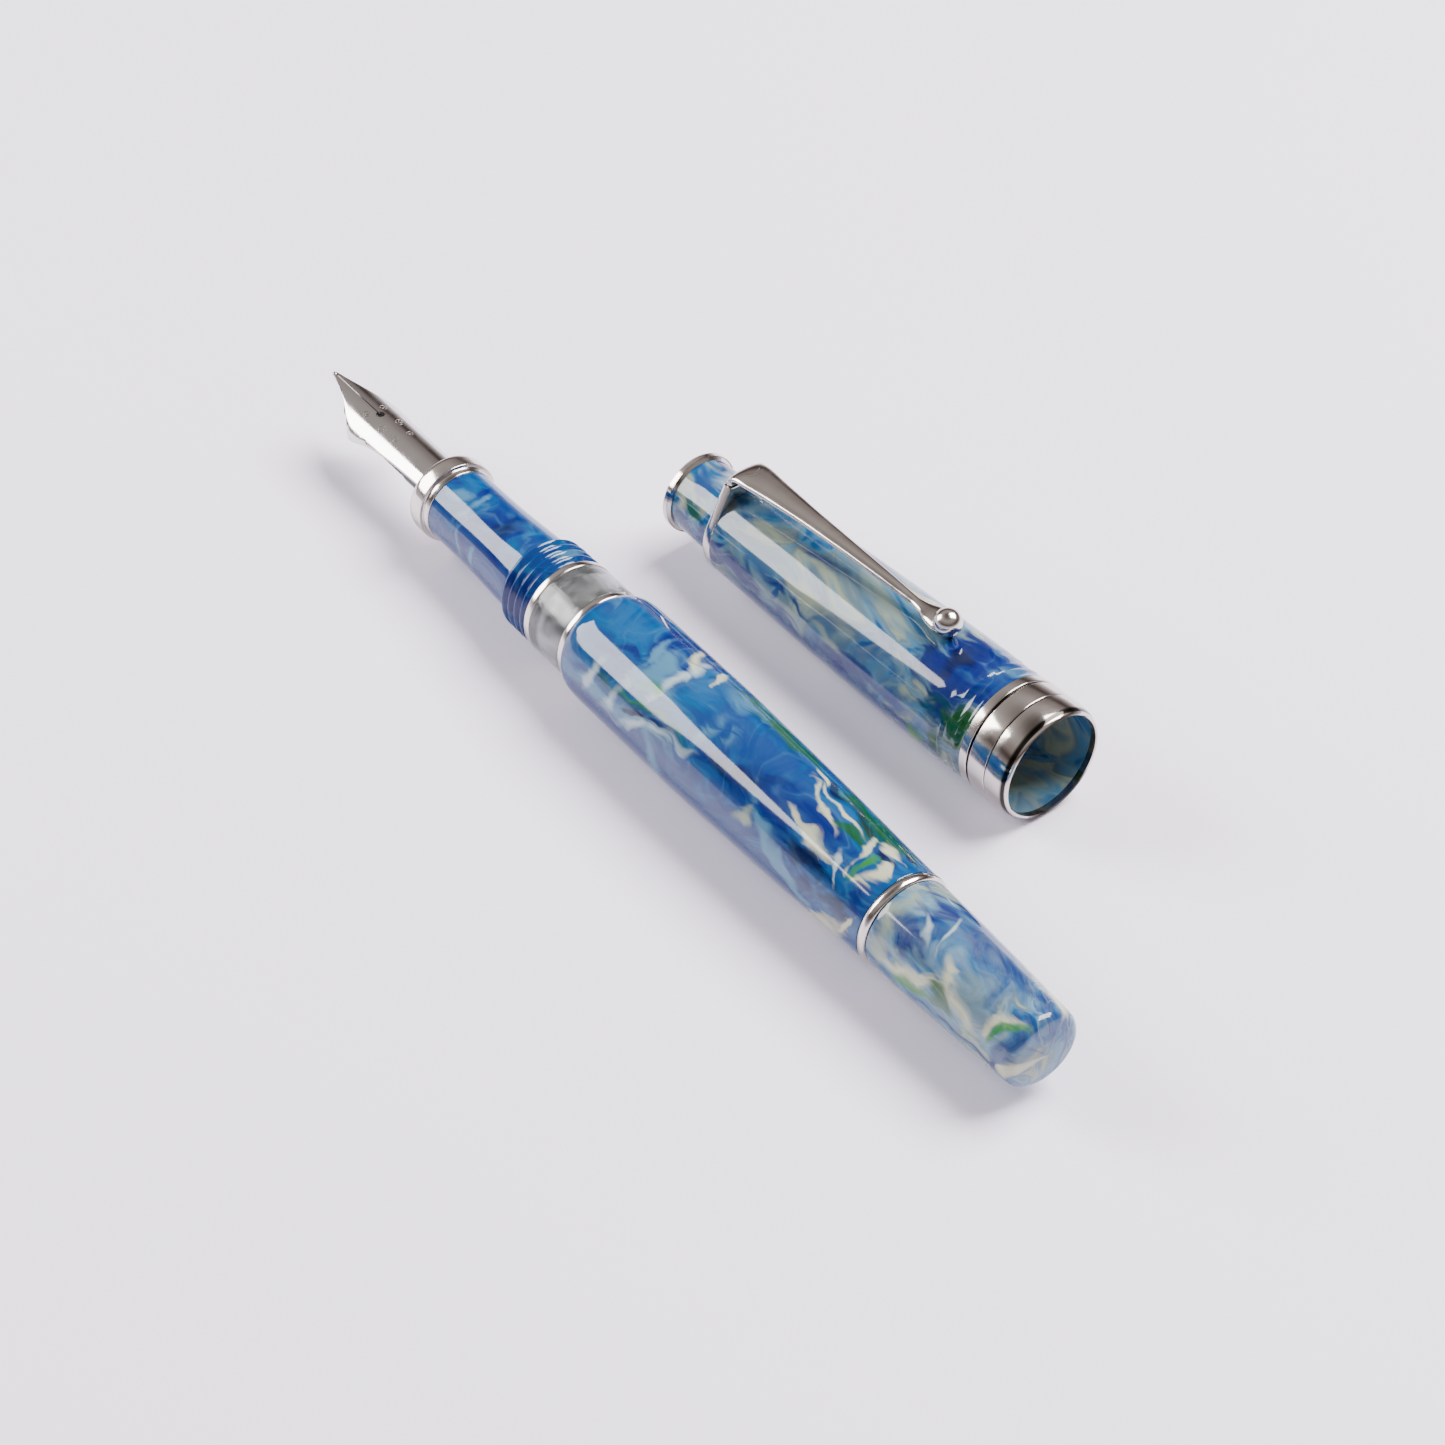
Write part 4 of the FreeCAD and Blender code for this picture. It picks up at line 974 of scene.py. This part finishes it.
clipSpine = [(-53.35, 7.68), (-53.4, 8.1), (-53.1, 8.5), (-52.3, 8.75), (-50.5, 8.84), (-44, 8.92),
             (-36, 8.85), (-29, 8.68), (-25, 8.5), (-22.4, 8.42), (-20.4, 8.5), (-18.6, 8.5),
             (-16.9, 8.5)]
clipWidths = [(-53.41, 2.65), (-53.2, 2.45), (-52.5, 2.35), (-51, 2.3), (-48, 1.95), (-42, 1.45),
              (-34, 1.05), (-27, 0.78), (-23.2, 0.62), (-21.6, 0.95), (-20.2, 1.55), (-18.6, 1.8),
              (-17.4, 1.6), (-16.6, 0.9), (-16.2, 0.4)]
clipDepths = [(-60, 0.55), (-53, 0.6), (-50, 0.62), (-40, 0.5), (-30, 0.45), (-23, 0.42),
              (-21, 0.55), (-19, 0.75), (-17, 0.6), (-16, 0.35)]
clipSizes = {"around": 28, "ballHeight": 8.85, "chevrons": 4, "chevronAt": -51.5,
             "chevronGap": 0.55, "chevronLine": 0.055}


def clipArmShape():
    # rounded cross-sections along a line that rises from the ring and runs over the cap
    builder = bmesh.new()
    spine = flowing(clipSpine, steps=6)
    rows = []
    for index, (x, z) in enumerate(spine):
        ahead = Vector(spine[min(index + 1, len(spine) - 1)]) - Vector(spine[max(index - 1, 0)])
        ahead.normalize()
        half = between(clipWidths, x)
        deep = between(clipDepths, x)
        row = []
        for k in range(clipSizes["around"]):
            angle = 2 * math.pi * k / clipSizes["around"]
            c = math.cos(angle)
            s = math.sin(angle)
            y = half * math.copysign(abs(c) ** 0.55, c)
            lift = deep * math.copysign(abs(s) ** 0.75, s)
            if s > 0:
                lift *= 1.0 - 0.25 * (y / half) ** 2
            row.append(builder.verts.new(((x - ahead.y * lift) * mm, y * mm,
                                          (z + ahead.x * lift) * mm)))
        rows.append(row)
    skin(builder, rows)
    return builder


finishPiece("clipArm", clipArmShape(), capSpot, "polished_trim", "clip", "clip_arm")
ball = measured("clip_ball", capSpot)
ballCentre = ((ball.low + ball.high) / 2, 0, clipSizes["ballHeight"])
finishPiece("clipBall", ballShape(ballCentre, (ball.high - ball.low) / 2), capSpot, "polished_trim",
            "clip", "clip_ball")

# plain chevrons stand a little proud of the clip's root
paths = []
for k in range(clipSizes["chevrons"]):
    point = clipSizes["chevronAt"] + clipSizes["chevronGap"] * k
    paths.append([(point - 0.5, -1.0, 9.35), (point - 0.25, -0.5, 9.38), (point, 0.0, 9.4),
                  (point - 0.25, 0.5, 9.38), (point - 0.5, 1.0, 9.35)])
finishPiece("clipChevrons", wireShape(paths, clipSizes["chevronLine"]), capSpot, "polished_trim",
            "clip", material=engravedSteel)
print("clip made")

# CAD nodes that stay
keptNodes = {
    "section_gasket": sealRubber, "barrel_gasket": sealRubber, "mechanism_sleeve": sleevePlastic,
    "sleeve_seal_ring": sealRubber, "piston_rod": innerPlastic, "piston_seal": sealRubber,
    "spindle": innerBrass, "knob_bush": innerBrass, "nib_collar": nibSteel,
    "inner_cap": innerPlastic,
}
for node, material in keptNodes.items():
    nodes[node].data.materials.clear()
    nodes[node].data.materials.append(material)

# Floor, lights and camera

floorSizes = {"half": 3.0, "drop": 0.00002}
material, tree, shader, place = startMaterial("paleTable", {"Roughness": 0.6, "IOR": 1.45})
floorColour = mixColour(tree, noiseNode(tree, place, 0.02, 4.0), (0.875, 0.825, 0.955),
                        (0.895, 0.845, 0.975))
tree.links.new(floorColour, shader.inputs["Base Color"])
builder = bmesh.new()
bmesh.ops.create_grid(builder, x_segments=2, y_segments=2, size=floorSizes["half"])
floorMesh = bpy.data.meshes.new("paleTable")
builder.to_mesh(floorMesh)
builder.free()
floor = bpy.data.objects.new("paleTable", floorMesh)
floor.location.z = -floorSizes["drop"]
floorMesh.materials.append(material)
bpy.context.scene.collection.objects.link(floor)


def outward(azimuth, elevation):
    # direction from the middle of the set to a lamp or the camera, angles in degrees
    a = math.radians(azimuth)
    e = math.radians(elevation)
    return Vector((math.sin(a) * math.cos(e), -math.cos(a) * math.cos(e), math.sin(e)))


def softbox(name, azimuth, elevation, distance, width, height, power, colour):
    # a rectangular lamp that looks at the middle of the set
    data = bpy.data.lights.new(name, "AREA")
    data.shape = "RECTANGLE"
    data.size = width
    data.size_y = height
    data.energy = power
    data.color = colour
    lamp = bpy.data.objects.new(name, data)
    back = outward(azimuth, elevation)
    turn = (-back).to_track_quat("-Z", "Y").to_matrix().to_4x4()
    lamp.matrix_world = Matrix.Translation(back * distance) @ turn
    bpy.context.scene.collection.objects.link(lamp)


softbox("stripLamp", -52.8, 29.5, 0.76, 0.38, 0.40, 8.2, (1.0, 0.99, 0.98))
softbox("keyLamp", 165, 56, 0.9, 0.55, 0.55, 25.0, (1.0, 0.985, 0.98))

# the room: bright low down, a dark band above it, then the grey of walls and ceiling
world = bpy.data.worlds.new("studioRoom")
world.use_nodes = True
tree = world.node_tree
tree.nodes.clear()
place = addNode(tree, "TexCoord").outputs["Generated"]
height = addNode(tree, "SeparateXYZ", values={0: place}).outputs[2]
roomColour = rampNode(tree, mathNode(tree, "MULTIPLY_ADD", height, 0.5, 0.5),
                      [(0.0, (0.80, 0.77, 0.86)), (0.53, (0.80, 0.77, 0.86)),
                       (0.585, (0.30, 0.25, 0.24)), (0.66, (0.075, 0.056, 0.052)),
                       (0.76, (0.33, 0.29, 0.28)), (0.87, (0.52, 0.48, 0.47)),
                       (1.0, (0.12, 0.10, 0.095))])
glow = addNode(tree, "Background", values={"Color": roomColour, "Strength": 1.0})
addNode(tree, "OutputWorld", values={0: glow.outputs[0]})
bpy.context.scene.world = world

cameraSizes = {"azimuth": 54.13, "elevation": 42.17, "distance": 0.3797, "lens": 82.8,
               "alongPen": 12.78, "fromPen": 7.22}
cameraData = bpy.data.cameras.new("viewCamera")
cameraData.lens = cameraSizes["lens"]
cameraData.sensor_width = 36
cameraData.clip_start = 0.01
camera = bpy.data.objects.new("viewCamera", cameraData)
back = outward(cameraSizes["azimuth"], cameraSizes["elevation"])
target = penSpot.translation + Vector((cameraSizes["alongPen"], cameraSizes["fromPen"], 0)) * mm
target.z = 0
camera.location = target + back * cameraSizes["distance"]
camera.rotation_mode = "QUATERNION"
camera.rotation_quaternion = (-back).to_track_quat("-Z", "Y")
bpy.context.scene.collection.objects.link(camera)
bpy.context.scene.camera = camera

bpy.context.view_layer.update()
print("scene ready")
